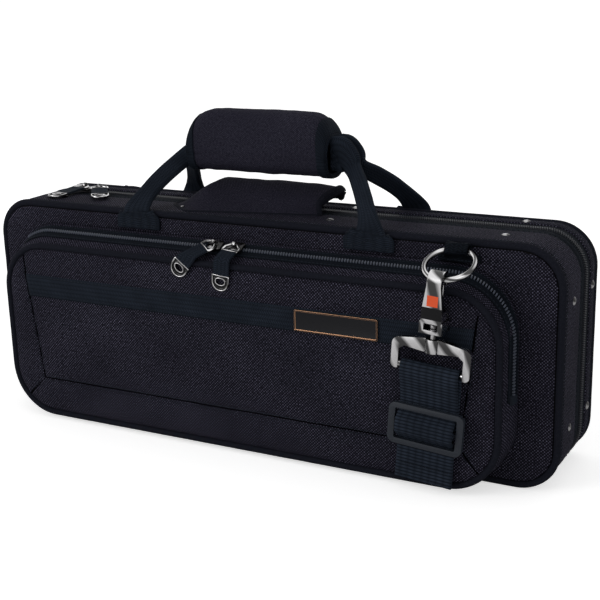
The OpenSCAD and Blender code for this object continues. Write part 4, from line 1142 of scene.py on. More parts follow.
class FLUTE_OT_flap(bpy.types.Operator):
    """Build the bound cloth flap over the zip"""

    bl_idname = "flute.flap"
    bl_label = "Zip flap"

    def execute(self, context):
        foot = case_sizes().height - 0.7
        nu, nv = 60, 32
        top = [[self.surface(i / nu, j / nv, foot) for j in range(nv + 1)] for i in range(nu + 1)]
        rows = []
        for i, row in enumerate(top):
            thick = 0.9 + 3.2 * smooth((i / nu - 0.8) / 0.2)
            under = [p + Vector((0, 0.5 if j < nv / 2 else -0.5, -thick))
                     for j, p in enumerate(row)]
            rows.append(row + under[::-1])
        flap = Piece("zip_flap_cloth")
        flap.grid(rows, close_v=True, caps=True)
        edge = top[0][::-1] + [row[0] for row in top[1:]] + top[-1][1:]
        flap.grid(self.binding(edge, foot), close_v=True, caps=True, slot=1)
        made = flap.done(["cloth_fine", "piping"], "flap", ["zip_flap"], slot="cloth")
        return {"FINISHED"}

    def surface(self, u, v, foot):
        """u runs along the case, v from the front edge over the ridge to the back."""
        back = case_sizes().rear_depth - 4.8
        lean, free = smooth(u / 0.24), smooth((u - 0.72) / 0.28)
        ridge_x = -72 + 27 * min(u / 0.24, 1) + 86 * max(u - 0.24, 0) / 0.76
        top = foot + FLAP_HEIGHT * lean - 1.5 * free
        path = smooth_path((
            (-56 + 94 * u, -37 + 19 * u, foot),
            (ridge_x - 5, -19 + 5 * u, foot + 0.62 * (top - foot)),
            (ridge_x, -6 + 4 * u, top),
            (ridge_x + 1, 5 + u, top - 0.2 * lean),
            (ridge_x + 1, 14 - 7 * free, foot + (0.6 * FLAP_HEIGHT + 3.0 * free) * lean),
            (ridge_x + 1 - 2 * free, back - 11 * free, foot + 10.5 * free),
        ), 8)
        t = v * (len(path) - 1)
        k = min(int(t), len(path) - 2)
        q = Vector(path[k]).lerp(Vector(path[k + 1]), t - k)
        q.z += wrinkle(q.x, q.y, 0, 20.0, 0.7, 4.0) * smooth(v * 6) * lean
        return Vector((q.x, q.y, max(q.z, foot)))

    def binding(self, edge, foot):
        """Rings of the bound edge, which grows into the curled end at the right."""
        rings = []
        for i, p in enumerate(edge):
            d = (edge[min(i + 1, len(edge) - 1)] - edge[max(i - 1, 0)]).normalized()
            s = d.cross(Vector((0, 0, 1)))
            s = s.normalized() if s.length > 0.05 else Vector((0, 1, 0))
            n = s.cross(d)
            full = smooth((p.x - 22) / 16) * smooth((p.z - foot - 4) / 8)
            centre, ring = p - Vector((0, 0, 0.3 + 2.3 * full)), []
            for degrees in range(0, 360, 45):
                a, b = on_circle(1, degrees)
                q = centre + s * ((1.9 + 0.6 * full) * a) + n * ((1.1 + 2.5 * full) * b)
                ring.append(Vector((q.x, q.y, max(q.z, foot - 0.2))))
            rings.append(ring)
        return rings


# The stripe's lower and upper edge, the quilt's grid and the side cloth's inset at the front.
STRIPE, QUILT, FACE_INSET = (93.5, 109.5), (190, 68), 0.4
# Where the zip lies between the pocket's foot and its front, and the height where it ends.
POCKET_ZIP_SHARE, POCKET_ZIP_END = 0.45, 62.0


def pocket_planes():
    """The y of the pocket's foot and of the seam round its front."""
    c, p = case_sizes(), pocket_sizes()
    return -c.front_depth - 0.3, -c.front_depth - p.depth + 2 * p.piping


def seam_lines():
    """The quilt's five seams: two flaring sides, the lower edge and two corner seams."""
    face, _ = pocket_outlines()
    top, low = face[3] - 2 * pocket_sizes().piping, face[2] + 29
    left, right = face[0] + 18, face[1] - 14
    a, b = (left + 12, low), (right - 12, low)
    return [((left, top + 2), a), ((right, top + 2), b), (a, b),
            ((face[0] + 14, face[2] + 14), a), ((face[1] - 14, face[2] + 14), b)]


def seam_distance(x, z):
    """How far a point of the quilt lies from the nearest seam."""
    return min(segment_distance(x, z, a, b) for a, b in seam_lines())


def pocket_surface(x, z):
    """The y of the quilted pocket front at a point."""
    c, p = case_sizes(), pocket_sizes()
    face, _ = pocket_outlines()
    e = max(edge_distance(shrink(face, 2 * p.piping + 0.1), x, z), 0.0)
    front = -c.front_depth - p.depth
    soft = p.puff * rise(seam_distance(x, z), 1.7) * rise(e, 4.0)
    soft += 0.5 * p.puff * rise(e, 3.0) + wrinkle(x, 0, z, 34.0, 0.28, 8.0) * rise(e, 6.0)
    y = front + 1.75 - soft
    pressed = smooth((z - STRIPE[0] + 5) / 5.5) * smooth((STRIPE[1] + 5 - z) / 5.5)
    y += (front + 0.2 - y) * pressed * rise(e, 2.0)
    return y + max(front + 0.3 - y, 0.0) * under_strap(x, z)


def under_strap(x, z):
    """How far the cloth at a point lies behind the hanging strap, from 0 to 1."""
    return smooth((x - 114) / 10) * smooth((180 - x) / 10) * smooth((130 - z) / 8)


def segment_distance(x, z, a, b):
    """How far a point lies from the line between two others."""
    dx, dz = b[0] - a[0], b[1] - a[1]
    t = max(0.0, min(1.0, ((x - a[0]) * dx + (z - a[1]) * dz) / (dx * dx + dz * dz)))
    return math.hypot(x - a[0] - dx * t, z - a[1] - dz * t)


def zip_outline(o):
    """The stretch of an outline that the pocket's zip follows, from left to right."""
    left, right, _, top, k = o
    low, share = top - k, right - left - 2 * k
    found = arc((left + k, low), k, range(125, 90, -5))
    found += [(left + k + share * i / 60, top) for i in range(61)]
    found += arc((right - k, low), k, range(84, 5, -6))
    return found + [(right, low + (POCKET_ZIP_END - low) * i / 6) for i in range(7)]


def along(a, b, z):
    """The x of the line through two points at a height."""
    return b[0] + (a[0] - b[0]) * (z - b[1]) / (a[1] - b[1])


class FLUTE_OT_pocket(bpy.types.Operator):
    """Build the pocket: side cloth, quilted front, piping, zip, stripe and plate"""

    bl_idname = "flute.pocket"
    bl_label = "Front pocket"

    def execute(self, context):
        c, p = case_sizes(), pocket_sizes()
        face, base = pocket_outlines()
        back, front = pocket_planes()
        self.gusset(face, base, back, front)
        self.quilt(shrink(face, 2 * p.piping + 0.1), front)
        edge = Piece("pocket_edge_piping")
        roll(edge, face, p.piping, -c.front_depth - p.depth + p.piping, p.piping - 0.05, 9.0)
        edge.done(["piping"], "lid", ["pocket_piping"], slot="piping")
        self.closure(face, base, back, front)
        self.stripe(-c.front_depth - p.depth - 0.72)
        self.plate()
        return {"FINISHED"}

    def gusset(self, face, base, back, front):
        """Side cloth from the pocket's foot to its front, crumpled least along the top."""
        feet = rounded(base, *POCKET_ROUND)
        edges = rounded(shrink(face, FACE_INSET), *POCKET_ROUND)
        rows, steps = [], 14
        for b, f in zip(feet, edges):
            row = []
            for i in range(steps + 1):
                t = i / steps
                (x, z), (nx, nz) = between(b, f, t), between(b[2:], f[2:], t)
                bulge, up = math.sin(math.pi * t), max(0.0, nz)
                puff = 0.7 * bulge * (1 - 0.8 * up)
                puff += wrinkle(b[0], t * 22, b[1], 15.0, 0.75, 6.0) * bulge * (1 - 0.75 * up)
                row.append((x + nx * puff, back + (front - back) * t, max(z + nz * puff, 0.6)))
            for y, (x, z, _, _) in ((front, f), (back, b)):
                row.append((x - b[2] * 1.8, y, z - b[3] * 1.8))
            rows.append(row)
        gusset = Piece("pocket_side_cloth")
        gusset.grid(rows, close_u=True, close_v=True)
        gusset.done(["cloth"], "lid", ["pocket_gusset"], slot="cloth")

    def quilt(self, inside, front):
        """Padded front with its sewn seams, filled between them, and a strip of painted shade along
        each seam.
        """
        quilt = Piece("pocket_front_cloth")
        panel(quilt, inside, *QUILT, lambda x, z: (x, pocket_surface(x, z), z), front - 1.0)
        for a, b in seam_lines():
            length = math.dist(a, b)
            dx, dz = (b[0] - a[0]) / length, (b[1] - a[1]) / length
            # Painted shade: a near-black strip along each seam.
            self.crease(quilt, a, b, length, (dz, -dx), inside)
            n = max(2, int(length / 8))
            for off in (-1.5, 1.5):
                line = []
                for i in range(n + 1):
                    x, z = between(a, b, i / n)
                    x, z = x - dz * off, z + dx * off
                    if edge_distance(inside, x, z) > 1.0:
                        line.append((x, pocket_surface(x, z), z))
                if len(line) > 1:
                    stitches(quilt, line, (0, -1, 0), lift=0.1)
        made = quilt.done(["cloth", "thread", "crease"], "lid", ["pocket_front_panel"],
                          slot="cloth")
        inflate(made, self.loose(inside))

    def loose(self, inside):
        """Numbers of the quilt's points that lie clear of its seams, edges, stripe and strap."""
        places = [q for row in panel_rows(inside, *QUILT, lambda x, z: (x, z)) for q in row]
        free = set()
        for i, (x, z) in enumerate(places):
            held = under_strap(x, z) > 0 or STRIPE[0] - 2 < z < STRIPE[1] + 2
            if not held and seam_distance(x, z) > 1.6 and edge_distance(inside, x, z) > 2.5:
                free.add(i)
        return free

    def crease(self, piece, a, b, length, side, inside):
        """Near-black strip along a sewn seam, raised just above the cloth: painted shade in the
        seam's groove.
        """
        rows, count = [], int(length / 2.5)
        for i in range(count + 1):
            x, z = between(a, b, i / count)
            if edge_distance(inside, x, z) < 0.3:
                continue
            y, row = pocket_surface(x, z), []
            for k in (-0.6, -0.3, 0, 0.3, 0.6):
                row.append((x + side[0] * k, y - 0.75 + 0.35 * (k / 0.6) ** 2, z + side[1] * k))
            rows.append(row + [(x, y + 0.3, z)])
        piece.grid(rows, close_v=True, caps=True, slot=2)

    def closure(self, face, base, back, front):
        """The pocket's zip: two tapes, a stop tab at the right end and the coil."""
        line, across, out = [], [], []
        for b, f in zip(zip_outline(base), zip_outline(shrink(face, FACE_INSET))):
            foot, edge = Vector((b[0], back, b[1])), Vector((f[0], front, f[1]))
            line.append(foot.lerp(edge, POCKET_ZIP_SHARE))
            across.append((edge - foot).normalized())
        for i, s in enumerate(across):
            d = (line[min(i + 1, len(line) - 1)] - line[max(i - 1, 0)]).normalized()
            out.append(d.cross(-s).normalized())
        tape, n = Piece("pocket_tape"), len(line)
        for sign in (-1, 1):
            bed = [q + o * 0.62 + a * (sign * 3.3) for q, o, a in zip(line, out, across)]
            sweep(tape, bed, across, [5.9] * n, [0.6] * n)
            seam = [q + o * 0.95 + a * (sign * 4.9) for q, o, a in zip(line, out, across)]
            stitches(tape, seam, out, pitch=2.8, lift=0.0)
        q, o, a = line[-1], out[-1], across[-1]
        stop = q + o * 1.5 + Vector((0, 0, 1.0))
        tape.block(stop, (a, (0, 0, 1), o), (7.0, 6.5, 1.6), 1, taper=0.15)
        tape.done(["zip_tape", "thread"], "lid", ["pocket_zip_tape"], slot="zip")
        teeth = Piece("pocket_teeth")
        frames = [(q, d, out[i], across[i]) for q, d, i, _ in resample(line, 2.0)]
        for sign in (-1, 1):
            zip_teeth(teeth, frames[1:-1], sign, (0.05, 1.1), (0.9, 1.95), 1.0)
        # The pocket's coil takes the lighter colour with its painted highlight.
        teeth.done(["coil"], "lid", ["pocket_zip_teeth"], slot="teeth")

    def stripe(self, front):
        """Webbing sewn across the quilt between its flaring seams."""
        (low, high), (left, right) = STRIPE, seam_lines()[:2]

        def point(share, z, gap, lift=0.0):
            x0, x1 = along(*left, z) + gap, along(*right, z) - gap
            return x0 + (x1 - x0) * share, front + lift, z

        rows = []
        for i in range(121):
            row = []
            for j in range(9):
                edge = 0.0 if 0 < j < 8 else 0.25
                x, y, z = point(i / 120, low + (high - low) * j / 8, 0.6, edge)
                row.append((x, y + wrinkle(x, 0, z, 12.0, 0.1, 3.0), z))
            rows.append(row + [(x, y + 1.0, z) for x, y, z in reversed(row)])
        stripe = Piece("stripe")
        stripe.grid(rows, close_v=True, caps=True)
        for z in (low + 1.4, high - 1.4):
            line = [point(i / 60, z, 1) for i in range(61)]
            stitches(stripe, line, (0, -1, 0), lift=0.1, pitch=3.0)
        stripe.done(["webbing", "thread"], "lid", ["webbing_stripe"], slot="webbing")

    def plate(self):
        """Bare plate with a border of its own colour round its face."""
        plate = hard_piece("bare_plate", ["plate", "plate_border"], "lid", bevel=0.15)
        lo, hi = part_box("bare_plate")
        for polygon in plate.data.polygons:
            at = polygon.center
            near = min(at.x - lo.x, hi.x - at.x, at.z - lo.z, hi.z - at.z)
            polygon.material_index = 1 if near < 0.0011 and polygon.normal.y < -0.3 else 0


# The bar's x, the turn aside and the lift in degrees; a pull without a lift hangs over the
# pocket's edge.
PULLS = {
    "main_pull_left": (-171.0, 5.0, 3.0),
    "main_pull_right": (-158.0, -38.0, 2.0),
    "pocket_pull_left": (-20.0, 38.0, None),
    "pocket_pull_right": (-4.0, 6.0, None),
}
# Lengths of a pull's three parts, and its webbing's width and thickness.
BRACKET, WEB, TIP, PULL_W, PULL_T = 8.0, 18.0, 11.0, 12.2, 1.6


# Height of a slider's bar over the case and over the pocket's zip, and where and how tightly a
# hanging pull bends.
SLIDER_LIFT, COIL_LIFT, FOLD_START, FOLD_RADIUS = 2.9, 5.25, 14.9, 2.5


def pocket_slope():
    """How far the pocket's side cloth leans at the top."""
    face, base = pocket_outlines()
    back, front = pocket_planes()
    return math.atan2(base[3] - face[3], back - front)


def pull_matrix(name):
    """From the pull's flat frame, bar on x and pull towards -y, to the row frame."""
    x, yaw, tilt = PULLS[name]
    if tilt is not None:
        return (Matrix.Translation((x, 0, case_sizes().height + SLIDER_LIFT))
                @ Matrix.Rotation(math.radians(-yaw), 4, "Z")
                @ Matrix.Rotation(math.radians(tilt), 4, "X"))
    face, base = pocket_outlines()
    back, front = pocket_planes()
    y, z = between((back, base[3]), (front, face[3] - FACE_INSET), POCKET_ZIP_SHARE)
    return (Matrix.Translation((x, y, z)) @ Matrix.Rotation(pocket_slope(), 4, "X")
            @ Matrix.Translation((0, 0, COIL_LIFT)))


def folded(x, y, dz, turn):
    """A point of a flat pull after it bends down over the pocket's edge."""
    s = -y - FOLD_START
    a = min(max(s, 0.0) / FOLD_RADIUS, turn)
    rest = max(0.0, s - FOLD_RADIUS * turn)
    q = FOLD_RADIUS + dz
    return Vector((x, -min(-y, FOLD_START) - q * math.sin(a) - rest * math.cos(a),
                   q * math.cos(a) - FOLD_RADIUS - rest * math.sin(a)))


def spun(x, y, w):
    """A point turned by an angle about the origin."""
    return x * math.cos(w) - y * math.sin(w), x * math.sin(w) + y * math.cos(w)


class FLUTE_OT_pulls(bpy.types.Operator):
    """Build the webbing of the four zip pulls and finish their metal"""

    bl_idname = "flute.pulls"
    bl_label = "Zip pulls"

    def execute(self, context):
        turn = math.pi / 2 - pocket_slope()
        for name, (_, yaw, tilt) in PULLS.items():
            matrix, w = pull_matrix(name), math.radians(yaw)

            def flat(a, s, b, matrix=matrix):
                """A point a across and s along the pull, b above its middle."""
                return matrix @ Vector((a, -s, b))

            def hanging(a, s, b, matrix=matrix, w=w):
                """The same on a pull that turns aside and hangs over the pocket's edge."""
                return matrix @ folded(*spun(a, -s, -w), b, turn)

            on_pocket = tilt is None
            at = hanging if on_pocket else flat
            self.webbing(name, at)
            self.bracket(name, flat, w if on_pocket else 0.0)
            self.tip(name, at)
        return {"FINISHED"}

    def webbing(self, name, at):
        """The pull's cloth, sewn across near both ends."""
        section, rows = ribbon_section(PULL_W, PULL_T), []
        for i in range(31):
            s = BRACKET - 2.0 + (WEB + 2.6) * i / 30
            rows.append([at(a, s, b) for a, b in section])
        web = Piece(name + "_webbing")
        web.grid(rows, close_v=True, caps=True)
        normal = (rows[15][4] - rows[15][-10]).normalized()
        for s in (BRACKET + 2.6, BRACKET + WEB - 2.4):
            line = [at(a, s, PULL_T / 2) for a in (-PULL_W / 2 + 1, 0, PULL_W / 2 - 1)]
            stitches(web, line, normal, pitch=2.0, lift=0.05)
        web.done(["webbing", "thread"], name, [name + "_web"], slot="webbing")

    def bracket(self, name, at, w):
        """Bent wire: a bar through the slider's crown, opening out to the webbing."""
        arm, half, low = 1.9, PULL_W / 2 - 0.25, BRACKET - 0.9
        corners = [(-arm, 0), (arm, 0), (half, 3.4), (half, low), (-half, low), (-half, 3.4)]
        spine = []
        for i, corner in enumerate(corners):
            before, after = Vector(corners[i - 1]), Vector(corners[(i + 1) % 6])
            c = Vector(corner)
            a, b = c + (before - c).normalized() * 1.1, c + (after - c).normalized() * 1.1
            spine += [a.lerp(c, t).lerp(c.lerp(b, t), t) for t in (0, 0.25, 0.5, 0.75, 1)]
        rows = []
        for i, p in enumerate(spine):
            d = (spine[(i + 1) % len(spine)] - spine[i - 1]).normalized()
            r = 0.78 if p.y < 0.2 else 0.95
            row = []
            for degrees in range(0, 360, 36):
                side, b = on_circle(r, degrees)
                a, s = spun(p.x + d.y * side, p.y - d.x * side, w)
                row.append(at(a, s, b))
            rows.append(row)
        wire = Piece(name + "_bracket_wire")
        wire.grid(rows, close_u=True, close_v=True)
        wire.done(["metal"], name, [name + "_bracket"])

    def tip(self, name, at):
        """D-shaped metal end: a raised rim, a sunk face and a raised lip round its hole."""
        half, top, foot = PULL_W / 2 + 0.4, BRACKET + WEB + 0.35, BRACKET + WEB + 0.35 + TIP
        centre = foot - half
        outer, hole = [], []
        for k in range(48):
            y, x = on_circle(1, 7.5 * (k + 0.5))
            reach = half
            if y < 0:
                reach = min(half / max(abs(x), 1e-6), (centre - top) / max(-y, 1e-6))
            outer.append(Vector((x * reach, centre + y * reach)))
            hole.append(Vector((3.3 * x, centre + 2.0 * y)))
        section = ((0, 0.5), (0.2, 0.95), (0.6, 1.04), (0.95, 0.85), (1.1, 0.15), (-0.95, 0.15),
                   (-0.85, 0.7), (-0.45, 0.9), (-0.1, 0.75), (0.0, 0.35))
        rows = []
        for o, q in zip(outer, hole):
            gap, row = (q - o).length, []
            for side in (1, -1):
                for d, z in (section if side > 0 else section[::-1]):
                    share = (d if d > 0 or z == 0.5 else gap + d) / gap
                    p = o.lerp(q, min(max(share, 0), 1))
                    row.append(at(p.x, p.y, side * z))
            rows.append(row)
        made = Piece(name + "_tip_ring")
        side = [0, 0, 0, 1, 1, 1, 0, 0, 0]
        made.grid(rows, close_u=True, close_v=True, slot=side + [0] + side + [0])
        made.done(["metal", "enamel_black"], name, [name + "_tip"])


# The rings' wire and middle line, their place along the case and below its top, and the
# sleeves that hold them.
RING_WIRE, RING_RADIUS, RING_X, RING_DROP = 1.7, 15.4, 149.0, 6.0
SLEEVE_HALF, SLEEVE_GAP, TAB_CLOTH = 6.0, 0.25, 1.3


def sleeve_radius():
    """Inner radius of a tab's sleeve, with room for the ring's curve inside it."""
    sag = RING_RADIUS - math.sqrt(RING_RADIUS ** 2 - SLEEVE_HALF ** 2)
    return RING_WIRE + sag + SLEEVE_GAP


class FLUTE_OT_ring_tabs(bpy.types.Operator):
    """Build the sewn webbing tabs that hold the carrying rings"""

    bl_idname = "flute.ring_tabs"
    bl_label = "Ring tabs"

    def execute(self, context):
        c = case_sizes()
        self.tab("front_ring_tab", "lid", RING_X, -c.front_depth, -1)
        self.tab("rear_ring_tab", "base", -RING_X, c.rear_depth, 1)
        return {"FINISHED"}

    def tab(self, node, body, x, face, sign):
        """One tab: up the face, round the ring and down again, wide where it's sewn."""
        low, z, r = pocket_outlines()[1][3] + 0.5, case_sizes().height - RING_DROP, sleeve_radius()
        path = [(0.75, low), (0.75, low + 4.5), (0.8, z - 3.4)]
        path += [(r + TAB_CLOTH - a, b) for a, b in arc((0, z), r + 0.65, range(-30, 230, 20))]
        path += [(2.4, z - 5.4), (2.2, low + 2.0), (2.2, low + 0.4)]
        widths = [27, 27, 20] + [15] * 13 + [20, 27, 27]
        points = smooth_path([(x, face + sign * y, z, w) for (y, z), w in zip(path, widths)], 4)
        tab, n = Piece(node + "_webbing"), len(points)
        sweep(tab, [q[:3] for q in points], [(1, 0, 0)] * n, [q[3] for q in points],
              [TAB_CLOTH] * n, wave=1.1, seed=2.5)
        for height in (low + 1.4, low + 3.6):
            line = [(x + side, face + sign * 2.9, height) for side in (-8, 8)]
            stitches(tab, line, (0, sign, 0), pitch=2.3, lift=0.0)
        tab.done(["tab", "thread"], body, [node], slot="webbing")


def chain_matrix():
    """From the hook's own frame to the row frame."""
    c, drop, slope = case_sizes(), 2 * RING_RADIUS, math.radians(23)
    y = -c.front_depth - sleeve_radius() - TAB_CLOTH - drop * math.cos(slope)
    z = c.height - RING_DROP - drop * math.sin(slope)
    return (Matrix.Translation((147.5, y, z)) @ Matrix.Rotation(math.radians(4.5), 4, "Y")
            @ Matrix.Translation((0, 0, -0.75)))


# The yoke's bar and the adjuster, in the hook's own frame.
ROD, BAR_Z = 1.3, -56.0
RAIL, ADJUSTER_THICK, ADJUSTER_HIGH, ADJUSTER_Z = 3.5, 3.5, 27.0, -94.8


class FLUTE_OT_strap(bpy.types.Operator):
    """Build the shoulder strap's webbing through the yoke and the adjuster"""

    bl_idname = "flute.strap"
    bl_label = "Shoulder strap"

    def execute(self, context):
        st = strap_sizes()
        t, w = st.thickness, st.width
        behind = ADJUSTER_THICK / 2 + 0.2 + t / 2
        tail = ADJUSTER_Z - ADJUSTER_HIGH / 2 - 24.0
        matrix = chain_matrix()
        turn = matrix.to_3x3()
        strap, side = Piece("strap_web"), turn @ Vector((1, 0, 0))
        path = [matrix @ Vector((0, y, z)) for y, z in smooth_path(self.route(t, behind, tail), 5)]
        hem = [matrix @ Vector((0, behind + t, z)) for z in (tail + 0.3, tail + 6, tail + 12)]
        for line, width, thick, wave in ((path, w, t, 0.12), (hem, w - 0.4, t * 0.9, 0.0)):
            n = len(line)
            sweep(strap, line, [side] * n, [width] * n, [thick] * n, wave=wave)
        for z in (tail + 2.0, tail + 10.5):
            for y, sign in ((behind - t / 2, -1), (behind + t * 1.45, 1)):
                line = [matrix @ Vector((a, y, z)) for a in (-w / 2 + 2.5, w / 2 - 2.5)]
                stitches(strap, line, turn @ Vector((0, sign, 0)), pitch=2.6, lift=0.15)
        strap.done(["strap", "thread"], "strap", ["strap_webbing"], slot="webbing")
        return {"FINISHED"}

    def route(self, t, behind, tail):
        """(y, z) from the free end up through the adjuster, over the yoke and back to it."""
        mid, fold, wrap = ADJUSTER_Z, 2.0 + t / 2, ROD + 0.15 + t / 2
        over = wrap + t + 0.25
        top, low = mid + ADJUSTER_HIGH / 2, mid - ADJUSTER_HIGH / 2
        rising = [(behind, tail), (behind + 0.2, tail + 10), (behind, low - 3),
                  (behind - 0.2, low + RAIL - 1.5), (0.0, low + RAIL + 2.8),
                  (-over + 0.3, mid - 4), (-over, mid), (-over + 0.3, mid + 4),
                  (0.0, top - RAIL - 2.8), (behind - 0.2, top - RAIL + 1.5),
                  (behind - 0.3, top + 2), (0.5, top + 10), (-fold, BAR_Z - 4)]
        falling = [(fold + 0.2, BAR_Z - 4), (behind + t + 0.2, BAR_Z - 10),
                   (behind + t + 0.4, mid + 9), (wrap + 0.6, mid + 2.6)]
        return (rising + arc((0, BAR_Z), fold, range(180, -1, -30))
                + falling + arc((0, mid), wrap, range(10, -251, -40)))


# Heights of the hook's inlay and dark band in its own frame, and the inlay's half width.
HOOK_INLAY, HOOK_INLAY_HALF, HOOK_BAND = (-14.4, -7.7), 3.5, (-22.6, -15.2)
# Material, body and bevel in millimetres of each hard piece.
HARD = {
    "rear_shell": ("board", "base", 0.0),
    "front_shell": ("board", "lid", 0.0),
    "rear_rivets": ("rivet", "base", 0.0),
    "front_rivets": ("rivet", "lid", 0.0),
    "main_slider_left": ("rivet", "main_slider_left", 0.25),
    "main_slider_right": ("rivet", "main_slider_right", 0.25),
    "pocket_slider_left": ("rivet", "pocket_slider_left", 0.25),
    "pocket_slider_right": ("rivet", "pocket_slider_right", 0.25),
    "front_ring": ("metal", "front_ring", 0.0),
    "rear_ring": ("metal", "rear_ring", 0.0),
    "hook_gate": ("metal", "gate", 0.25),
    "gate_pin": ("metal", "hook", 0.15),
    "gate_spring": ("metal", "hook", 0.0),
    "strap_yoke": ("metal", "yoke", 0.5),
    "strap_adjuster": ("plastic", "strap", 0.5),
}


class FLUTE_OT_hardware(bpy.types.Operator):
    """Finish the metal and plastic pieces: rings, hook, yoke, sliders, rivets and adjuster"""

    bl_idname = "flute.hardware"
    bl_label = "Metal and plastic"

    def execute(self, context):
        for node, (material, body, bevel) in HARD.items():
            hard_piece(node, [material], body, bevel)
        hard_piece("hook_body", ["metal", "enamel", "enamel_black"], "hook", 0.4, self.paint_hook)
        return {"FINISHED"}

    def paint_hook(self, bm):
        """Bare enamel inlay on the hook's face and the dark band below it."""
        matrix = chain_matrix()
        turn = matrix.to_3x3()
        for z in HOOK_INLAY + HOOK_BAND:
            self.cut(bm, matrix @ Vector((0, 0, z)), turn @ Vector((0, 0, 1)))
        for x in (-HOOK_INLAY_HALF, HOOK_INLAY_HALF):
            self.cut(bm, matrix @ Vector((x, 0, 0)), turn @ Vector((1, 0, 0)))
        back = matrix.inverted()
        for face in bm.faces:
            q = back @ (face.calc_center_median() / MM)
            outward = (turn.inverted() @ face.normal).y
            in_inlay = HOOK_INLAY[0] < q.z < HOOK_INLAY[1] and abs(q.x) < HOOK_INLAY_HALF
            if HOOK_BAND[0] < q.z < HOOK_BAND[1] and outward < -0.3:
                face.material_index = 2
            elif in_inlay and outward < -0.7:
                face.material_index = 1

    def cut(self, bm, place, normal):
        """New edges where a plane meets the piece, so that paint can end there."""
        bmesh.ops.bisect_plane(bm, geom=bm.verts[:] + bm.edges[:] + bm.faces[:], dist=SAME_POINT,
                               plane_co=place * MM, plane_no=normal)


# Name, property and share of its power, place, size and aim of each lamp.
LAMPS = (
    ("key_light", "key", 1.0, (-1.35, -1.75, 1.05), 1.3, (0, -0.05, 0.08)),
    ("fill_light", "fill", 1.0, (1.7, -1.3, 0.9), 1.4, (0, -0.05, 0.08)),
    ("top_light", "fill", 0.25, (0.2, 0.6, 1.7), 1.2, (0, 0, 0.08)),
)
FLOOR_HALF, FLOOR_Z, WHITE = 30000, -0.05, (1, 1, 1, 1)
# Place in metres, turn in degrees and lens shift, solved from the photograph.
CAMERA_PLACE, CAMERA_TURN = (0.4041, -0.7268, 0.3281), (28.574, 16.795, -1.604)
CAMERA_SHIFT, CAMERA_CLIP, SENSOR = (0.0056, 0.0276), (0.05, 60), 36


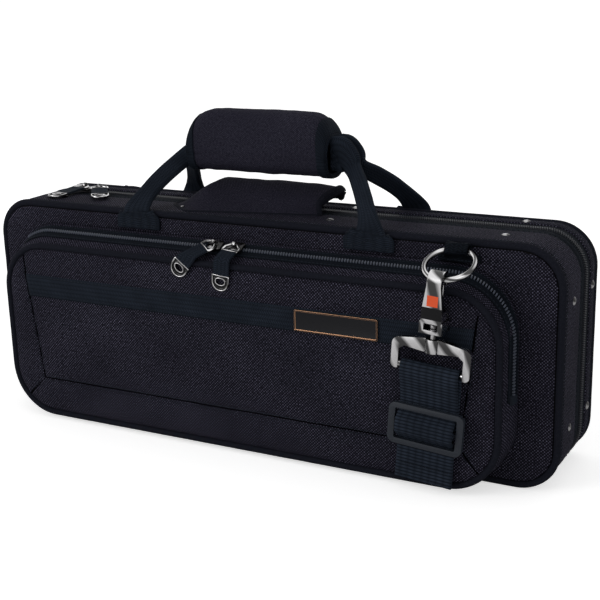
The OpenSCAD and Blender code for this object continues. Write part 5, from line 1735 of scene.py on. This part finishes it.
class FLUTE_OT_stage(bpy.types.Operator):
    """Set up the floor, the lights and the photograph's camera"""

    bl_idname = "flute.stage"
    bl_label = "Stage"

    def execute(self, context):
        scene, s = context.scene, context.scene.flute_stage
        scene.view_settings.view_transform = "Standard"
        materials()["floor"] = self.floor_material(s)
        piece = Piece("floor")
        piece.grid([[(x, y * FLOOR_HALF, FLOOR_Z) for x in (-FLOOR_HALF, FLOOR_HALF)]
                    for y in (-1, 1)])
        floor = piece.done(["floor"])
        self.world(scene, s)
        for name, power, share, place, size, aim in LAMPS:
            light = bpy.data.lights.new(name, "AREA")
            light.shape, light.size, light.energy = "DISK", size, getattr(s, power) * share
            made = bpy.data.objects.new(name, light)
            context.collection.objects.link(made)
            made.location = place
            made.rotation_euler = (Vector(aim) - Vector(place)).to_track_quat("-Z", "Y").to_euler()
        self.camera(scene, s)
        return {"FINISHED"}

    def floor_material(self, s):
        """Pale floor that the camera sees as white, with the shadow kept."""
        n = Nodes("pale_floor")
        n.set(Base_Color=colour4(s.floor), Roughness=0.9, Specular_IOR_Level=0.1,
              Emission_Color=WHITE)
        paths = n.add("ShaderNodeLightPath")
        glow = n.maths("MULTIPLY", paths.outputs["Is Camera Ray"], s.glow)
        n.link(glow, n.shader.inputs["Emission Strength"])
        return n.material

    def world(self, scene, s):
        """Soft light on the case, plain white to the camera and in reflections."""
        world = scene.world = bpy.data.worlds.new("studio")
        world.use_nodes = True
        tree = world.node_tree
        tree.nodes.clear()
        out, mix, paths, soft, white = [tree.nodes.new("ShaderNode" + kind) for kind in (
            "OutputWorld", "MixShader", "LightPath", "Background", "Background")]
        soft.inputs["Strength"].default_value = s.ambient
        for background in (soft, white):
            background.inputs["Color"].default_value = WHITE
        seen = paths.outputs["Is Camera Ray"]
        for key in ("Is Glossy Ray", "Is Transmission Ray"):
            either = tree.nodes.new("ShaderNodeMath")
            either.operation = "MAXIMUM"
            tree.links.new(seen, either.inputs[0])
            tree.links.new(paths.outputs[key], either.inputs[1])
            seen = either.outputs[0]
        for socket, source in zip(mix.inputs, (seen, soft.outputs[0], white.outputs[0])):
            tree.links.new(source, socket)
        tree.links.new(mix.outputs[0], out.inputs[0])

    def camera(self, scene, s):
        """The camera that the photograph was taken with."""
        camera = bpy.data.cameras.new("photo_camera")
        camera.sensor_fit, camera.sensor_width, camera.lens = "HORIZONTAL", SENSOR, s.focal
        camera.shift_x, camera.shift_y = CAMERA_SHIFT
        camera.clip_start, camera.clip_end = CAMERA_CLIP
        made = bpy.data.objects.new("photo_camera", camera)
        bpy.context.collection.objects.link(made)
        yaw, pitch, tilt = (math.radians(a) for a in CAMERA_TURN)
        away = Vector((-math.sin(yaw) * math.cos(pitch), math.cos(yaw) * math.cos(pitch),
                       -math.sin(pitch)))
        level = Vector((math.cos(yaw), math.sin(yaw), 0))
        up = level.cross(away)
        right = level * math.cos(tilt) + up * math.sin(tilt)
        up = up * math.cos(tilt) - level * math.sin(tilt)
        turn = Matrix((right, up, -away)).transposed()
        made.matrix_world = Matrix.Translation(CAMERA_PLACE) @ turn.to_4x4()
        scene.camera = made


STEPS = (
    FLUTE_OT_shells, FLUTE_OT_main_zip, FLUTE_OT_lining, FLUTE_OT_handle, FLUTE_OT_flap,
    FLUTE_OT_pocket, FLUTE_OT_pulls, FLUTE_OT_ring_tabs, FLUTE_OT_strap, FLUTE_OT_hardware,
    FLUTE_OT_stage,
)


class FLUTE_PT_panel(bpy.types.Panel):
    """The case's sizes, colours and building steps"""

    bl_idname = "FLUTE_PT_panel"
    bl_label = "Flute case"
    bl_space_type = "VIEW_3D"
    bl_region_type = "UI"
    bl_category = "Flute case"

    def draw(self, context):
        for key, group in GROUPS.items():
            box = self.layout.box()
            for name in group.__annotations__:
                box.prop(getattr(context.scene, key), name)
        for step in STEPS:
            self.layout.operator(step.bl_idname)


CLASSES = (*GROUPS.values(), *STEPS, FLUTE_PT_panel)


def register():
    for cls in CLASSES:
        bpy.utils.register_class(cls)
    for key, group in GROUPS.items():
        setattr(bpy.types.Scene, key, PointerProperty(type=group))


def unregister():
    for key in GROUPS:
        delattr(bpy.types.Scene, key)
    for cls in reversed(CLASSES):
        bpy.utils.unregister_class(cls)


def main():
    register()
    for step in STEPS:
        group, name = step.bl_idname.split(".")
        getattr(getattr(bpy.ops, group), name)()


if __name__ == "__main__":
    main()
